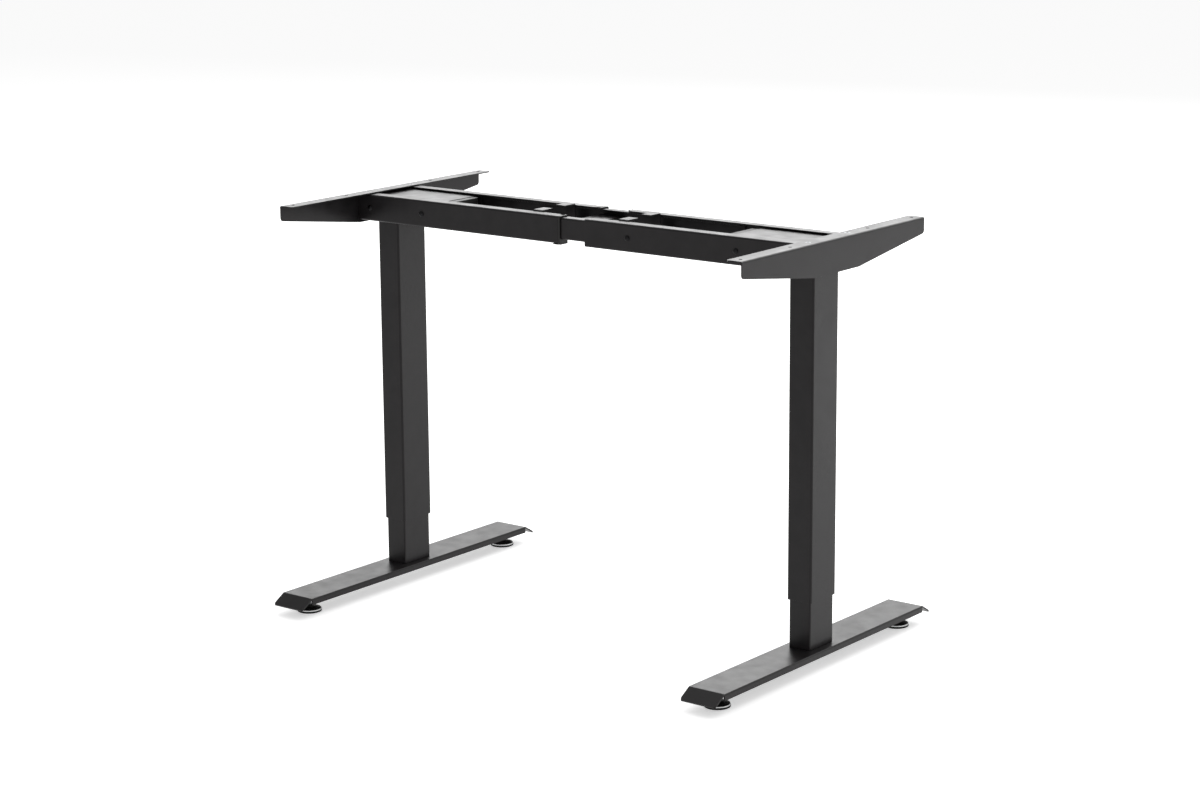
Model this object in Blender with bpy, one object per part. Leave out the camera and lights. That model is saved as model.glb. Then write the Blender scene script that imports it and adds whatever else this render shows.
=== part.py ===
# Height adjustable standing desk frame: two telescopic lifting columns on sheet steel feet,
# joined by a width adjustable pair of channel rails with an angle bracket at each end.
#
# Frame: x runs along the rails, y from front (-) to rear (+), z up from the floor.
# The x = 0 plane lies halfway between the two columns.  Sizes are in millimetres.
import math

import bmesh
import bpy
from mathutils import Matrix, Vector

MM = 0.001
GAP = 0.3
ROUND = 20
HOLE_ROUND = 14

# overall sizes
TOP_Z = 795.0
BRACKET_OUT_X = 536.0
COLUMN_INSET = 48.0
FOOT_TOP_Z = 38.0

# feet
FOOT_WIDTH = 77.0
FOOT_FLAT = 657.0
FOOT_SHEET = 3.0
FOOT_FLANGE = 12.7
FOOT_FLANGE_SHEET = 2.8
FOOT_SLOPE_RUN = 29.0
FOOT_SLOPE_DROP = 17.0
FOOT_CORNER_R = 8.0
FOOT_STEP = 0.6

# levelling glides
GLIDE_INSET = 32.5
GLIDE_R = 24.0
GLIDE_HEIGHT = 11.0
STUD_R = 4.0
STUD_UP = 4.0
STUD_HEADROOM = 1.5
BOSS_R = 9.0
BOSS_DROP = 15.0

# telescopic columns
OUTER_X = 52.0
OUTER_Y = 82.0
OUTER_WALL = 1.7
OUTER_CORNER_R = 4.0
INNER_SHOWING = 91.0
LINER = 1.3
LINER_CLEARANCE = 0.1
INNER_WALL = 2.0
INNER_CORNER_R = 3.0
BASE_PLATE = 8.0
LOWER_GUIDE_HEIGHT = 36.0
NUT_HEIGHT = 28.0
NUT_CAP = 4.0
LIFT_DOWN = 78.0
LIFT_UP = 372.0
SPINDLE_R = 8.0
SPINDLE_MARGIN = 7.0
SPINDLE_NECK = 14.0

# foot bolts
FOOT_BOLT_INSET = 12.5
FOOT_BOLT_R = 4.0
FOOT_BOLT_HEAD_R = 7.5
FOOT_BOLT_HEAD = 5.0

# side brackets
SHEET = 2.5
BRACKET_HALF_Y = 294.0
BRACKET_FLANGE = 33.0
BRACKET_BELOW_RAIL = 6.2
BRACKET_END_DEPTH = 30.0
BRACKET_CORNER_R = 7.0
BRACKET_BEND_R = 0.7
BRACKET_CHAMFER = 3.0
BRACKET_SHOULDER = 3.5
BRACKET_HOLE_R = 3.5
BRACKET_INNER_HOLE_Y = 125.0
BRACKET_END_HOLE = 19.0

# rails and sliders
COLUMN_RAIL_GAP = 10.5
RAIL_FLANGE = 24.0
RAIL_HEIGHT = 52.0
RAIL_END_X = 29.0
RAIL_NOTCH_X = 12.0
RAIL_NOTCH_Y = 10.0
SLIDER_SETBACK = 50.0
SLIDER_RAISE = 5.6
SLIDER_LIP_INSET = 1.2
INSERT_FLANGE = 5.0
INSERT_TONGUE = 12.0
INSERT_LOBE = 2.0

# ties between the rails
TIE_FROM_RAIL_END = 72.0
TIE_WIDTH = 22.0
TIE_EAR = 32.0
CENTRE_TIE_X = (-38.0, 12.0)
CENTRE_TIE_RISE = 11.8
CENTRE_TIE_DEPTH = 16.0

# leg mounts, gear motors
MOUNT_REACH = 148.0
MOUNT_END_CLEARANCE = 1.0
MOUNT_DROP = 1.7
MOUNT_SHEET = 3.0
MOUNT_RAISE = 2.3
MOTOR_SPACE = 1.3
MOTOR_END_SPACE = 10.0
MOTOR_NECK = 22.0
MOTOR_NOSE_R = 10.0
COVER_PROUD = 16.0
COVER_RAIL_GAP = 5.5
COVER_WALL = 2.5
COVER_LID = 2.2
COVER_CORNER_R = 9.0
COVER_RAISE = 4.3
GEAR_CLEARANCE = 1.7
GEAR_HUB_R = 12.0
GEAR_HUB = 6.0

# screws
SCREW_R = 3.0
SCREW_CLEARANCE = 0.3
SCREW_HEAD_R = 5.5
SCREW_HEAD = 3.2
SCREW_LENGTH = 12.0
MOUNT_SCREW_INSETS = (30.0, 9.0)
SLIDER_SCREW_FROM_TIE = 27.0
CSK_HEAD_R = 6.0
CSK_LENGTH = 14.0
FLANGE_SCREW_INSET = 20.0

# rails and brackets, derived
RAIL_TOP_Z = TOP_Z - SHEET - GAP
RAIL_BOTTOM_Z = RAIL_TOP_Z - RAIL_HEIGHT
RAIL_LIP_Y = OUTER_Y / 2 + COLUMN_RAIL_GAP
RAIL_OUT_Y = RAIL_LIP_Y + RAIL_FLANGE
RAIL_IN_Y = RAIL_OUT_Y - SHEET
RAIL_OUT_X = BRACKET_OUT_X - SHEET - GAP
BRACKET_DEPTH = TOP_Z - RAIL_BOTTOM_Z + BRACKET_BELOW_RAIL
BRACKET_FLAT_HALF_Y = RAIL_OUT_Y - BRACKET_SHOULDER
BRACKET_HOLES_Y = (BRACKET_INNER_HOLE_Y, BRACKET_HALF_Y - BRACKET_END_HOLE)
SCREW_Z = (RAIL_TOP_Z + RAIL_BOTTOM_Z) / 2
FLANGE_SCREW_X = BRACKET_OUT_X - FLANGE_SCREW_INSET
FLANGE_SCREW_Y = RAIL_OUT_Y - RAIL_FLANGE / 2
TIE_X = RAIL_END_X + TIE_FROM_RAIL_END

# columns and motors, derived
COLUMN_X = BRACKET_OUT_X - COLUMN_INSET
COLUMN_IN_X = COLUMN_X - OUTER_X / 2
MOUNT_X = (COLUMN_X - MOUNT_REACH, FLANGE_SCREW_X - SCREW_R - MOUNT_END_CLEARANCE)
MOUNT_TOP_Z = RAIL_TOP_Z - SHEET - MOUNT_DROP
MOUNT_LOW_Z = RAIL_BOTTOM_Z + SHEET + MOUNT_RAISE
MOUNT_SCREWS_X = (MOUNT_X[0] + MOUNT_SCREW_INSETS[0], MOUNT_X[1] - MOUNT_SCREW_INSETS[1])
COLUMN_TOP_Z = MOUNT_TOP_Z - MOUNT_SHEET - GAP
OUTER_BOTTOM_Z = FOOT_TOP_Z + INNER_SHOWING
COVER_X = MOUNT_X[0] - COVER_PROUD
COVER_HALF_Y = RAIL_LIP_Y - COVER_RAIL_GAP
COVER_BOTTOM_Z = RAIL_BOTTOM_Z + COVER_RAISE
MOTOR_Z = (COVER_BOTTOM_Z + COVER_WALL + COLUMN_TOP_Z) / 2
MOTOR_R = COLUMN_TOP_Z - MOTOR_Z - MOTOR_SPACE
MOTOR_X = (MOUNT_X[0] + MOTOR_END_SPACE, COLUMN_IN_X - MOTOR_NECK)
GEAR_X = OUTER_X - 2 * OUTER_WALL - 2 * GEAR_CLEARANCE
GEAR_Y = OUTER_Y - 2 * OUTER_WALL - 2 * GEAR_CLEARANCE
GEAR_BOTTOM_Z = MOTOR_Z - MOTOR_R - MOTOR_SPACE
INNER_X = OUTER_X - 2 * OUTER_WALL - 2 * LINER
INNER_Y = OUTER_Y - 2 * OUTER_WALL - 2 * LINER
FOOT_BOLT_Y = INNER_Y / 2 - FOOT_BOLT_INSET
INNER_TOP_Z = GEAR_BOTTOM_Z - GEAR_HUB - LIFT_DOWN - NUT_CAP - SPINDLE_MARGIN
SPINDLE_BOTTOM_Z = INNER_TOP_Z - NUT_HEIGHT - SPINDLE_MARGIN - LIFT_UP

# sliders and feet, derived
SLIDER_TOP_Z = RAIL_TOP_Z - SHEET - GAP
SLIDER_BOTTOM_Z = RAIL_BOTTOM_Z + SHEET + SLIDER_RAISE
SLIDER_OUT_Y = RAIL_IN_Y - GAP
SLIDER_LIP_Y = RAIL_LIP_Y + SLIDER_LIP_INSET
SLIDER_HALF_X = MOUNT_X[0] - SLIDER_SETBACK
SLIDER_SCREW_X = TIE_X + SLIDER_SCREW_FROM_TIE
CENTRE_TIE_TOP_Z = SCREW_Z + CENTRE_TIE_RISE
GLIDE_Y = FOOT_FLAT / 2 - GLIDE_INSET
STUD_TOP_Z = FOOT_TOP_Z - FOOT_SHEET - STUD_HEADROOM - STUD_UP


def clear_scene():
    for obj in list(bpy.data.objects):
        bpy.data.objects.remove(obj, do_unlink=True)


def make_material(name, colour, roughness, metallic):
    mat = bpy.data.materials.new(name)
    mat.use_nodes = True
    shader = mat.node_tree.nodes["Principled BSDF"]
    shader.inputs["Base Color"].default_value = (*colour, 1.0)
    shader.inputs["Roughness"].default_value = roughness
    shader.inputs["Metallic"].default_value = metallic
    return mat


def make_object(name, bm, mat=None, smooth=False):
    """Turn a bmesh in millimetres into a named object in metres."""
    bmesh.ops.recalc_face_normals(bm, faces=bm.faces)
    bmesh.ops.scale(bm, vec=(MM, MM, MM), verts=bm.verts)
    mesh = bpy.data.meshes.new(name)
    bm.to_mesh(mesh)
    bm.free()
    if smooth:
        mesh.polygons.foreach_set("use_smooth", [True] * len(mesh.polygons))
    if mat:
        mesh.materials.append(mat)
    obj = bpy.data.objects.new(name, mesh)
    bpy.context.scene.collection.objects.link(obj)
    return obj


def place(point, axis, along):
    """A section point (a, b) at a distance along x, y or z."""
    a, b = point
    if axis == "x":
        return Vector((along, a, b))
    if axis == "y":
        return Vector((a, along, b))
    return Vector((a, b, along))


def prism(points, axis, low, high, hole=None):
    """A closed section pushed along an axis; hole is a second loop with as many points."""
    bm = bmesh.new()
    loops = [points] if hole is None else [points, hole]
    ends = []
    for loop in loops:
        first = [bm.verts.new(place(p, axis, low)) for p in loop]
        last = [bm.verts.new(place(p, axis, high)) for p in loop]
        ends.append((first, last))
        for i in range(len(loop)):
            j = (i + 1) % len(loop)
            bm.faces.new((first[i], first[j], last[j], last[i]))
    if hole is None:
        bm.faces.new(ends[0][0])
        bm.faces.new(ends[0][1])
    else:
        for side in (0, 1):
            outer = ends[0][side]
            inner = ends[1][side]
            for i in range(len(outer)):
                j = (i + 1) % len(outer)
                bm.faces.new((outer[i], outer[j], inner[j], inner[i]))
    return bm


def rounded_rect(size_a, size_b, radius, centre=(0.0, 0.0), steps=4):
    """Corner-rounded rectangle as a loop of points."""
    points = []
    half_a = size_a / 2 - radius
    half_b = size_b / 2 - radius
    for turn, (sa, sb) in enumerate(((1, 1), (-1, 1), (-1, -1), (1, -1))):
        for step in range(steps + 1):
            angle = math.pi / 2 * (turn + step / steps)
            a = centre[0] + sa * half_a + radius * math.cos(angle)
            b = centre[1] + sb * half_b + radius * math.sin(angle)
            points.append((a, b))
    return points


def circle(radius, centre=(0.0, 0.0), count=ROUND):
    turns = [2 * math.pi * i / count for i in range(count)]
    return [(centre[0] + radius * math.cos(t), centre[1] + radius * math.sin(t)) for t in turns]


def fillet(corner, before, after, radius, steps):
    """Points of the arc that rounds one corner between two unit directions."""
    cross = before.x * after.y - before.y * after.x
    angle = math.atan2(cross, before.dot(after))
    if abs(angle) < 1e-6 or radius <= 0:
        return [tuple(corner)]
    start = corner - before * (radius * math.tan(abs(angle) / 2))
    side = math.copysign(1.0, angle)
    normal = Vector((-before.y, before.x)) * side
    middle = start + normal * radius
    points = []
    for step in range(steps + 1):
        spin = Matrix.Rotation(angle * step / steps, 2)
        points.append(tuple(middle + spin @ (start - middle)))
    return points


def bent_sheet(path, sheet, radius=1.0, steps=3):
    """Section of a bent sheet; the sheet lies to the left of the path."""
    nodes = [Vector(p) for p in path]
    ways = [(b - a).normalized() for a, b in zip(nodes, nodes[1:])]
    normals = [Vector((-w.y, w.x)) for w in ways]
    right = [tuple(nodes[0])]
    left = [tuple(nodes[0] + normals[0] * sheet)]
    for i in range(1, len(nodes) - 1):
        before, after = ways[i - 1], ways[i]
        turn = before.x * after.y - before.y * after.x
        inner, outer = radius, radius + sheet
        mitre = (normals[i - 1] + normals[i]) / (1 + normals[i - 1].dot(normals[i]))
        left_corner = nodes[i] + mitre * sheet
        right += fillet(nodes[i], before, after, outer if turn > 0 else inner, steps)
        left += fillet(left_corner, before, after, inner if turn > 0 else outer, steps)
    right.append(tuple(nodes[-1]))
    left.append(tuple(nodes[-1] + normals[-1] * sheet))
    return right + left[::-1]


def lathe(profile, count=ROUND, centre=(0.0, 0.0)):
    """Closed turned solid about a vertical axis from (radius, z) points, axis points included."""
    bm = bmesh.new()
    rings = []
    for radius, z in profile:
        if radius < 1e-6:
            rings.append([bm.verts.new((centre[0], centre[1], z))])
        else:
            rings.append([bm.verts.new((a, b, z)) for a, b in circle(radius, centre, count)])
    for low, high in zip(rings, rings[1:]):
        for i in range(count):
            j = (i + 1) % count
            if len(low) == 1:
                bm.faces.new((low[0], high[i], high[j]))
            elif len(high) == 1:
                bm.faces.new((low[i], low[j], high[0]))
            else:
                bm.faces.new((low[i], low[j], high[j], high[i]))
    return bm


def combine(obj, tools, operation):
    """Join tools to, or cut them from, an object and drop them."""
    for tool in tools:
        tool.hide_render = True
        tool.display_type = "WIRE"
        mod = obj.modifiers.new(operation.lower(), "BOOLEAN")
        mod.operation = operation
        mod.solver = "EXACT"
        mod.object = tool
        graph = bpy.context.evaluated_depsgraph_get()
        mesh = bpy.data.meshes.new_from_object(obj.evaluated_get(graph))
        obj.modifiers.clear()
        old = obj.data
        obj.data = mesh
        mesh.name = obj.name
        bpy.data.meshes.remove(old)
        bpy.data.objects.remove(tool, do_unlink=True)
    return obj


def cutter(points, axis, low, high):
    return make_object("cutter", prism(points, axis, low, high))


def round_hole(axis, radius, centre, low, high):
    return cutter(circle(radius, centre, HOLE_ROUND), axis, low, high)


def soften(obj, amount, test, steps=2):
    """Round the edges that pass a test on their two end points, given in millimetres."""
    bm = bmesh.new()
    bm.from_mesh(obj.data)
    chosen = [e for e in bm.edges if test(*(v.co / MM for v in e.verts))]
    bmesh.ops.bevel(bm, geom=chosen, offset=amount * MM, segments=steps, profile=0.5, affect="EDGES")
    bm.to_mesh(obj.data)
    bm.free()
    return obj


def foot(name, side, mat):
    """Folded steel foot: flat top, side flanges, sloping end plates, stud bosses below."""
    x = side * COLUMN_X
    half = FOOT_WIDTH / 2
    low = FOOT_TOP_Z - FOOT_FLANGE
    section = bent_sheet(
        [(x + half, low), (x + half, FOOT_TOP_Z), (x - half, FOOT_TOP_Z), (x - half, low)],
        FOOT_FLANGE_SHEET, 1.0)
    flange_end = FOOT_FLAT / 2 - FOOT_SHEET
    body = make_object(name, prism(section, "y", -flange_end, flange_end), mat)
    flat = FOOT_FLAT / 2
    end = flat + FOOT_SLOPE_RUN
    tip = FOOT_TOP_Z - FOOT_SLOPE_DROP
    spine = bent_sheet([(end, tip), (flat, FOOT_TOP_Z), (-flat, FOOT_TOP_Z), (-end, tip)], FOOT_SHEET, 2.0)
    plate = make_object("plate", prism(spine, "x", x - half + FOOT_STEP, x + half - FOOT_STEP))
    outline = rounded_rect(FOOT_WIDTH - 2 * FOOT_STEP, 2 * end + 2.0, FOOT_CORNER_R, (x, 0.0))
    combine(plate, [cutter(outline, "z", 0.0, TOP_Z)], "INTERSECT")
    bosses = []
    for y in (-GLIDE_Y, GLIDE_Y):
        boss = circle(BOSS_R, (x, y), 6)
        bosses.append(cutter(boss, "z", FOOT_TOP_Z - FOOT_SHEET - BOSS_DROP, FOOT_TOP_Z - 1.0))
    combine(body, [plate] + bosses, "UNION")
    holes = []
    for y in (-GLIDE_Y, GLIDE_Y):
        holes.append(round_hole("z", STUD_R + GAP, (x, y), 0.0, STUD_TOP_Z + STUD_UP + 0.7))
    for y in (-FOOT_BOLT_Y, FOOT_BOLT_Y):
        holes.append(round_hole("z", FOOT_BOLT_R + GAP, (x, y), 0.0, FOOT_TOP_Z + 1.0))
    return combine(body, holes, "DIFFERENCE")


def foot_bolt(name, side, y, mat):
    x = side * COLUMN_X
    top = FOOT_TOP_Z + GAP + BASE_PLATE
    head_top = FOOT_TOP_Z - FOOT_SHEET - GAP
    profile = [
        (0.0, head_top - FOOT_BOLT_HEAD),
        (FOOT_BOLT_HEAD_R, head_top - FOOT_BOLT_HEAD),
        (FOOT_BOLT_HEAD_R, head_top),
        (FOOT_BOLT_R, head_top),
        (FOOT_BOLT_R, top),
        (0.0, top),
    ]
    return make_object(name, lathe(profile, ROUND, (x, y)), mat)


def inner_column(name, side, mat):
    """Lower telescopic tube with its base plate welded inside."""
    x = side * COLUMN_X
    bottom = FOOT_TOP_Z + GAP
    outer = rounded_rect(INNER_X, INNER_Y, INNER_CORNER_R, (x, 0.0))
    inner = rounded_rect(
        INNER_X - 2 * INNER_WALL, INNER_Y - 2 * INNER_WALL, INNER_CORNER_R - INNER_WALL, (x, 0.0))
    tube = make_object(name, prism(outer, "z", bottom, INNER_TOP_Z, inner), mat)
    fill = rounded_rect(INNER_X - INNER_WALL, INNER_Y - INNER_WALL, INNER_CORNER_R - 1.0, (x, 0.0))
    combine(tube, [cutter(fill, "z", bottom, bottom + BASE_PLATE)], "UNION")
    holes = []
    for y in (-FOOT_BOLT_Y, FOOT_BOLT_Y):
        holes.append(round_hole("z", FOOT_BOLT_R + GAP, (x, y), bottom - 1, bottom + BASE_PLATE + 1))
    return combine(tube, holes, "DIFFERENCE")


def guide_nut(name, side, mat):
    """Moulded nut block in the top of the inner tube, with a cap that guides it in the outer tube."""
    x = side * COLUMN_X
    block_x = INNER_X - 2 * INNER_WALL - 2 * GAP
    block_y = INNER_Y - 2 * INNER_WALL - 2 * GAP
    block = rounded_rect(block_x, block_y, INNER_CORNER_R - INNER_WALL, (x, 0.0))
    trim = 2 * OUTER_WALL + 2 * GAP
    cap = rounded_rect(OUTER_X - trim, OUTER_Y - trim, OUTER_CORNER_R - OUTER_WALL, (x, 0.0))
    top = INNER_TOP_Z + GAP
    body = make_object(name, prism(block, "z", INNER_TOP_Z - NUT_HEIGHT, top + 1.0), mat)
    combine(body, [cutter(cap, "z", top, top + NUT_CAP)], "UNION")
    hole = round_hole("z", SPINDLE_R + GAP, (x, 0.0), 0.0, TOP_Z)
    return combine(body, [hole], "DIFFERENCE")


def glide_stud(name, side, y, mat):
    profile = [
        (0.0, 4.5),
        (STUD_R, 4.5),
        (STUD_R, STUD_TOP_Z - 1.0),
        (STUD_R - 1.0, STUD_TOP_Z),
        (0.0, STUD_TOP_Z),
    ]
    return make_object(name, lathe(profile, ROUND, (side * COLUMN_X, y)), mat, True)


def glide_pad(name, side, y, mat):
    """Round levelling pad with a socket for the stud."""
    socket = STUD_R + GAP
    profile = [
        (0.0, 0.0),
        (GLIDE_R - 1.2, 0.0),
        (GLIDE_R - 0.3, 1.0),
        (GLIDE_R, 5.4),
        (GLIDE_R - 0.8, GLIDE_HEIGHT - 1.6),
        (GLIDE_R - 2.6, GLIDE_HEIGHT - 0.4),
        (9.5, GLIDE_HEIGHT),
        (8.5, GLIDE_HEIGHT + 2.6),
        (socket, GLIDE_HEIGHT + 2.6),
        (socket, 4.2),
        (0.0, 4.2),
    ]
    return make_object(name, lathe(profile, 32, (side * COLUMN_X, y)), mat, True)


def outer_column(name, side, mat):
    """Upper telescopic tube; a window near its top lets the motor reach the gearbox."""
    x = side * COLUMN_X
    outer = rounded_rect(OUTER_X, OUTER_Y, OUTER_CORNER_R, (x, 0.0))
    inner = rounded_rect(
        OUTER_X - 2 * OUTER_WALL, OUTER_Y - 2 * OUTER_WALL, OUTER_CORNER_R - OUTER_WALL, (x, 0.0))
    tube = make_object(name, prism(outer, "z", OUTER_BOTTOM_Z, COLUMN_TOP_Z, inner), mat)
    near, far = sorted((side * (COLUMN_IN_X - 2), side * (COLUMN_IN_X + 6)))
    window = round_hole("x", MOTOR_NOSE_R + 2.0, (0.0, MOTOR_Z), near, far)
    return combine(tube, [window], "DIFFERENCE")


def lower_guide(name, side, mat):
    x = side * COLUMN_X
    trim = 2 * OUTER_WALL + 2 * LINER_CLEARANCE
    outer = rounded_rect(OUTER_X - trim, OUTER_Y - trim, OUTER_CORNER_R - OUTER_WALL, (x, 0.0))
    room = 4 * LINER_CLEARANCE
    inner = rounded_rect(INNER_X + room, INNER_Y + room, INNER_CORNER_R + 0.2, (x, 0.0))
    low = OUTER_BOTTOM_Z + 1.0
    return make_object(name, prism(outer, "z", low, low + LOWER_GUIDE_HEIGHT, inner), mat)


def leg_mount(name, side, mat):
    """Bridge of folded plate that hangs the column between the rails."""
    edge = RAIL_IN_Y - 2 * GAP
    path = [(edge, MOUNT_LOW_Z), (edge, MOUNT_TOP_Z), (-edge, MOUNT_TOP_Z), (-edge, MOUNT_LOW_Z)]
    section = bent_sheet(path, MOUNT_SHEET, 1.5)
    near, far = sorted((side * MOUNT_X[0], side * MOUNT_X[1]))
    body = make_object(name, prism(section, "x", near, far), mat)
    holes = []
    for x in MOUNT_SCREWS_X:
        spot = (side * x, SCREW_Z)
        holes.append(round_hole("y", SCREW_R + SCREW_CLEARANCE, spot, -RAIL_OUT_Y, RAIL_OUT_Y))
    return combine(body, holes, "DIFFERENCE")


def motor_cover(name, side, mat):
    """Moulded trough round the motor, roofed only where it sticks out past the leg mount."""
    inner_end = COLUMN_IN_X - GAP
    length = inner_end - COVER_X
    centre = side * (COVER_X + length / 2)
    outline = rounded_rect(length, 2 * COVER_HALF_Y, COVER_CORNER_R, (centre, 0.0))
    squared = rounded_rect(length / 2, 2 * COVER_HALF_Y, 0.01, (side * (inner_end - length / 4), 0.0), 1)
    body = make_object(name, prism(outline, "z", COVER_BOTTOM_Z, COLUMN_TOP_Z), mat)
    combine(body, [cutter(squared, "z", COVER_BOTTOM_Z, COLUMN_TOP_Z)], "UNION")
    nose_x = COVER_X + COVER_CORNER_R + 3.0

    def on_rim(a, b):
        return min(a.z, b.z) > COLUMN_TOP_Z - 0.01 and max(side * a.x, side * b.x) < nose_x

    soften(body, COVER_LID, on_rim)
    hollow_x = (COVER_X + COVER_WALL, inner_end + 5)
    mouth_x = (MOUNT_X[0] + 4, inner_end + 5)
    half = COVER_HALF_Y - COVER_WALL
    cuts = []
    for (low_x, high_x), high_z in ((hollow_x, COLUMN_TOP_Z - COVER_LID), (mouth_x, COLUMN_TOP_Z + 5)):
        box = rounded_rect(high_x - low_x, 2 * half, 4.0, (side * (low_x + high_x) / 2, 0.0), 2)
        cuts.append(cutter(box, "z", COVER_BOTTOM_Z + COVER_WALL, high_z))
    return combine(body, cuts, "DIFFERENCE")


def motor(name, side, mat):
    """Geared motor lying along x, its nose reaching through the column wall."""
    near, far = MOTOR_X
    nose = COLUMN_X - GEAR_X / 2 - GAP
    profile = [
        (0.0, near),
        (MOTOR_R - 4.0, near),
        (MOTOR_R - 4.0, near + 3.0),
        (MOTOR_R - 1.5, near + 3.0),
        (MOTOR_R, near + 5.0),
        (MOTOR_R, far),
        (MOTOR_NOSE_R + 3.0, far + 2.0),
        (MOTOR_NOSE_R + 3.0, COLUMN_IN_X - 4.0),
        (MOTOR_NOSE_R, COLUMN_IN_X - 4.0),
        (MOTOR_NOSE_R, nose),
        (0.0, nose),
    ]
    bm = lathe(profile)
    turn = Matrix(((0, 0, side, 0), (0, 1, 0, 0), (-side, 0, 0, MOTOR_Z), (0, 0, 0, 1)))
    bmesh.ops.transform(bm, matrix=turn, verts=bm.verts)
    return make_object(name, bm, mat, True)


def gearbox(name, side, mat):
    """Worm gear case in the top of the column, with the spindle hub below."""
    x = side * COLUMN_X
    case = rounded_rect(GEAR_X, GEAR_Y, 5.0, (x, 0.0), 3)
    body = make_object(name, prism(case, "z", GEAR_BOTTOM_Z, COLUMN_TOP_Z - GAP), mat)
    hub = cutter(circle(GEAR_HUB_R, (x, 0.0)), "z", GEAR_BOTTOM_Z - GEAR_HUB, GEAR_BOTTOM_Z + 1.0)
    return combine(body, [hub], "UNION")


def spindle(name, side, mat):
    top = GEAR_BOTTOM_Z - GEAR_HUB - GAP
    profile = [
        (0.0, SPINDLE_BOTTOM_Z),
        (SPINDLE_R - 1.5, SPINDLE_BOTTOM_Z),
        (SPINDLE_R, SPINDLE_BOTTOM_Z + 1.5),
        (SPINDLE_R, top - SPINDLE_NECK),
        (SPINDLE_R - 2.0, top - SPINDLE_NECK),
        (SPINDLE_R - 2.0, top),
        (0.0, top),
    ]
    obj = make_object(name, lathe(profile), mat, True)
    obj.location.x = side * COLUMN_X * MM
    return obj


def side_bracket(name, side, mat):
    """Angle bracket under the desktop: deep in the middle, tapering to both ends."""
    half = BRACKET_HALF_Y
    end_z = TOP_Z - BRACKET_END_DEPTH
    deep_z = TOP_Z - BRACKET_DEPTH
    rim = side * BRACKET_OUT_X
    edge = side * (BRACKET_OUT_X - BRACKET_FLANGE)
    past = 5.0
    path = [(rim, deep_z - past), (rim, TOP_Z), (edge, TOP_Z)]
    if side < 0:
        path = path[::-1]
    angle = bent_sheet(path, SHEET, BRACKET_BEND_R)
    body = make_object(name, prism(angle, "y", -half - past, half + past), mat)
    corners = [
        (-half, TOP_Z + past),
        (-half, end_z),
        (-BRACKET_FLAT_HALF_Y, deep_z),
        (BRACKET_FLAT_HALF_Y, deep_z),
        (half, end_z),
        (half, TOP_Z + past),
    ]
    radii = (0.0, BRACKET_CORNER_R, 4.0, 4.0, BRACKET_CORNER_R, 0.0)
    outline = []
    for i, corner in enumerate(corners):
        here = Vector(corner)
        before = (here - Vector(corners[i - 1])).normalized()
        after = (Vector(corners[(i + 1) % len(corners)]) - here).normalized()
        outline += fillet(here, before, after, radii[i], 4)
    near, far = sorted((edge - side * past, rim + side * past))
    combine(body, [cutter(outline, "x", near, far)], "INTERSECT")
    cuts = []
    for flip in (-1, 1):
        end = flip * half
        corner = [
            (edge - side, end + flip),
            (edge + side * (BRACKET_CHAMFER + 1), end + flip),
            (edge - side, end - flip * (BRACKET_CHAMFER + 1)),
        ]
        cuts.append(cutter(corner, "z", TOP_Z - past, TOP_Z + past))
        for y in BRACKET_HOLES_Y:
            centre = ((rim + edge) / 2, flip * y)
            cuts.append(round_hole("z", BRACKET_HOLE_R, centre, TOP_Z - past, TOP_Z + past))
        wide = CSK_HEAD_R + SCREW_CLEARANCE
        narrow = SCREW_R + SCREW_CLEARANCE
        cone = [
            (0.0, TOP_Z - SHEET - 0.2),
            (narrow, TOP_Z - SHEET - 0.2),
            (wide + 0.2, TOP_Z + 0.2),
            (0.0, TOP_Z + 0.2),
        ]
        spot = (side * FLANGE_SCREW_X, flip * FLANGE_SCREW_Y)
        cuts.append(make_object("cone", lathe(cone, HOLE_ROUND, spot)))
    return combine(body, cuts, "DIFFERENCE")


def rail(name, side, face, mat, slider_screw):
    """Channel rail from the side bracket towards the middle; face is -1 front, 1 rear."""
    y_out = face * RAIL_OUT_Y
    y_lip = face * RAIL_LIP_Y
    path = [(y_lip, RAIL_TOP_Z), (y_out, RAIL_TOP_Z), (y_out, RAIL_BOTTOM_Z), (y_lip, RAIL_BOTTOM_Z)]
    if face > 0:
        path = path[::-1]
    mouth = RAIL_END_X if side > 0 else RAIL_END_X + INSERT_FLANGE
    near, far = sorted((side * mouth, side * RAIL_OUT_X))
    body = make_object(name, prism(bent_sheet(path, SHEET, 1.0), "x", near, far), mat)
    spots = [(side * x, SCREW_Z) for x in MOUNT_SCREWS_X]
    if slider_screw:
        spots.append((side * SLIDER_SCREW_X, SCREW_Z))
    low, high = sorted((face * (RAIL_IN_Y - 5), face * (RAIL_OUT_Y + 5)))
    holes = [round_hole("y", SCREW_R + SCREW_CLEARANCE, spot, low, high) for spot in spots]
    spot = (side * FLANGE_SCREW_X, face * FLANGE_SCREW_Y)
    holes.append(round_hole("z", SCREW_R + SCREW_CLEARANCE, spot, RAIL_TOP_Z - 5, RAIL_TOP_Z + 5))
    notch = [
        (side * (mouth - 1), y_lip - face * 1.0),
        (side * (mouth + RAIL_NOTCH_X), y_lip - face * 1.0),
        (side * (mouth + RAIL_NOTCH_X), y_lip),
        (side * (mouth - 1), y_lip + face * RAIL_NOTCH_Y),
    ]
    holes.append(cutter(notch, "z", RAIL_TOP_Z - 5, RAIL_TOP_Z + 5))
    return combine(body, holes, "DIFFERENCE")


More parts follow.
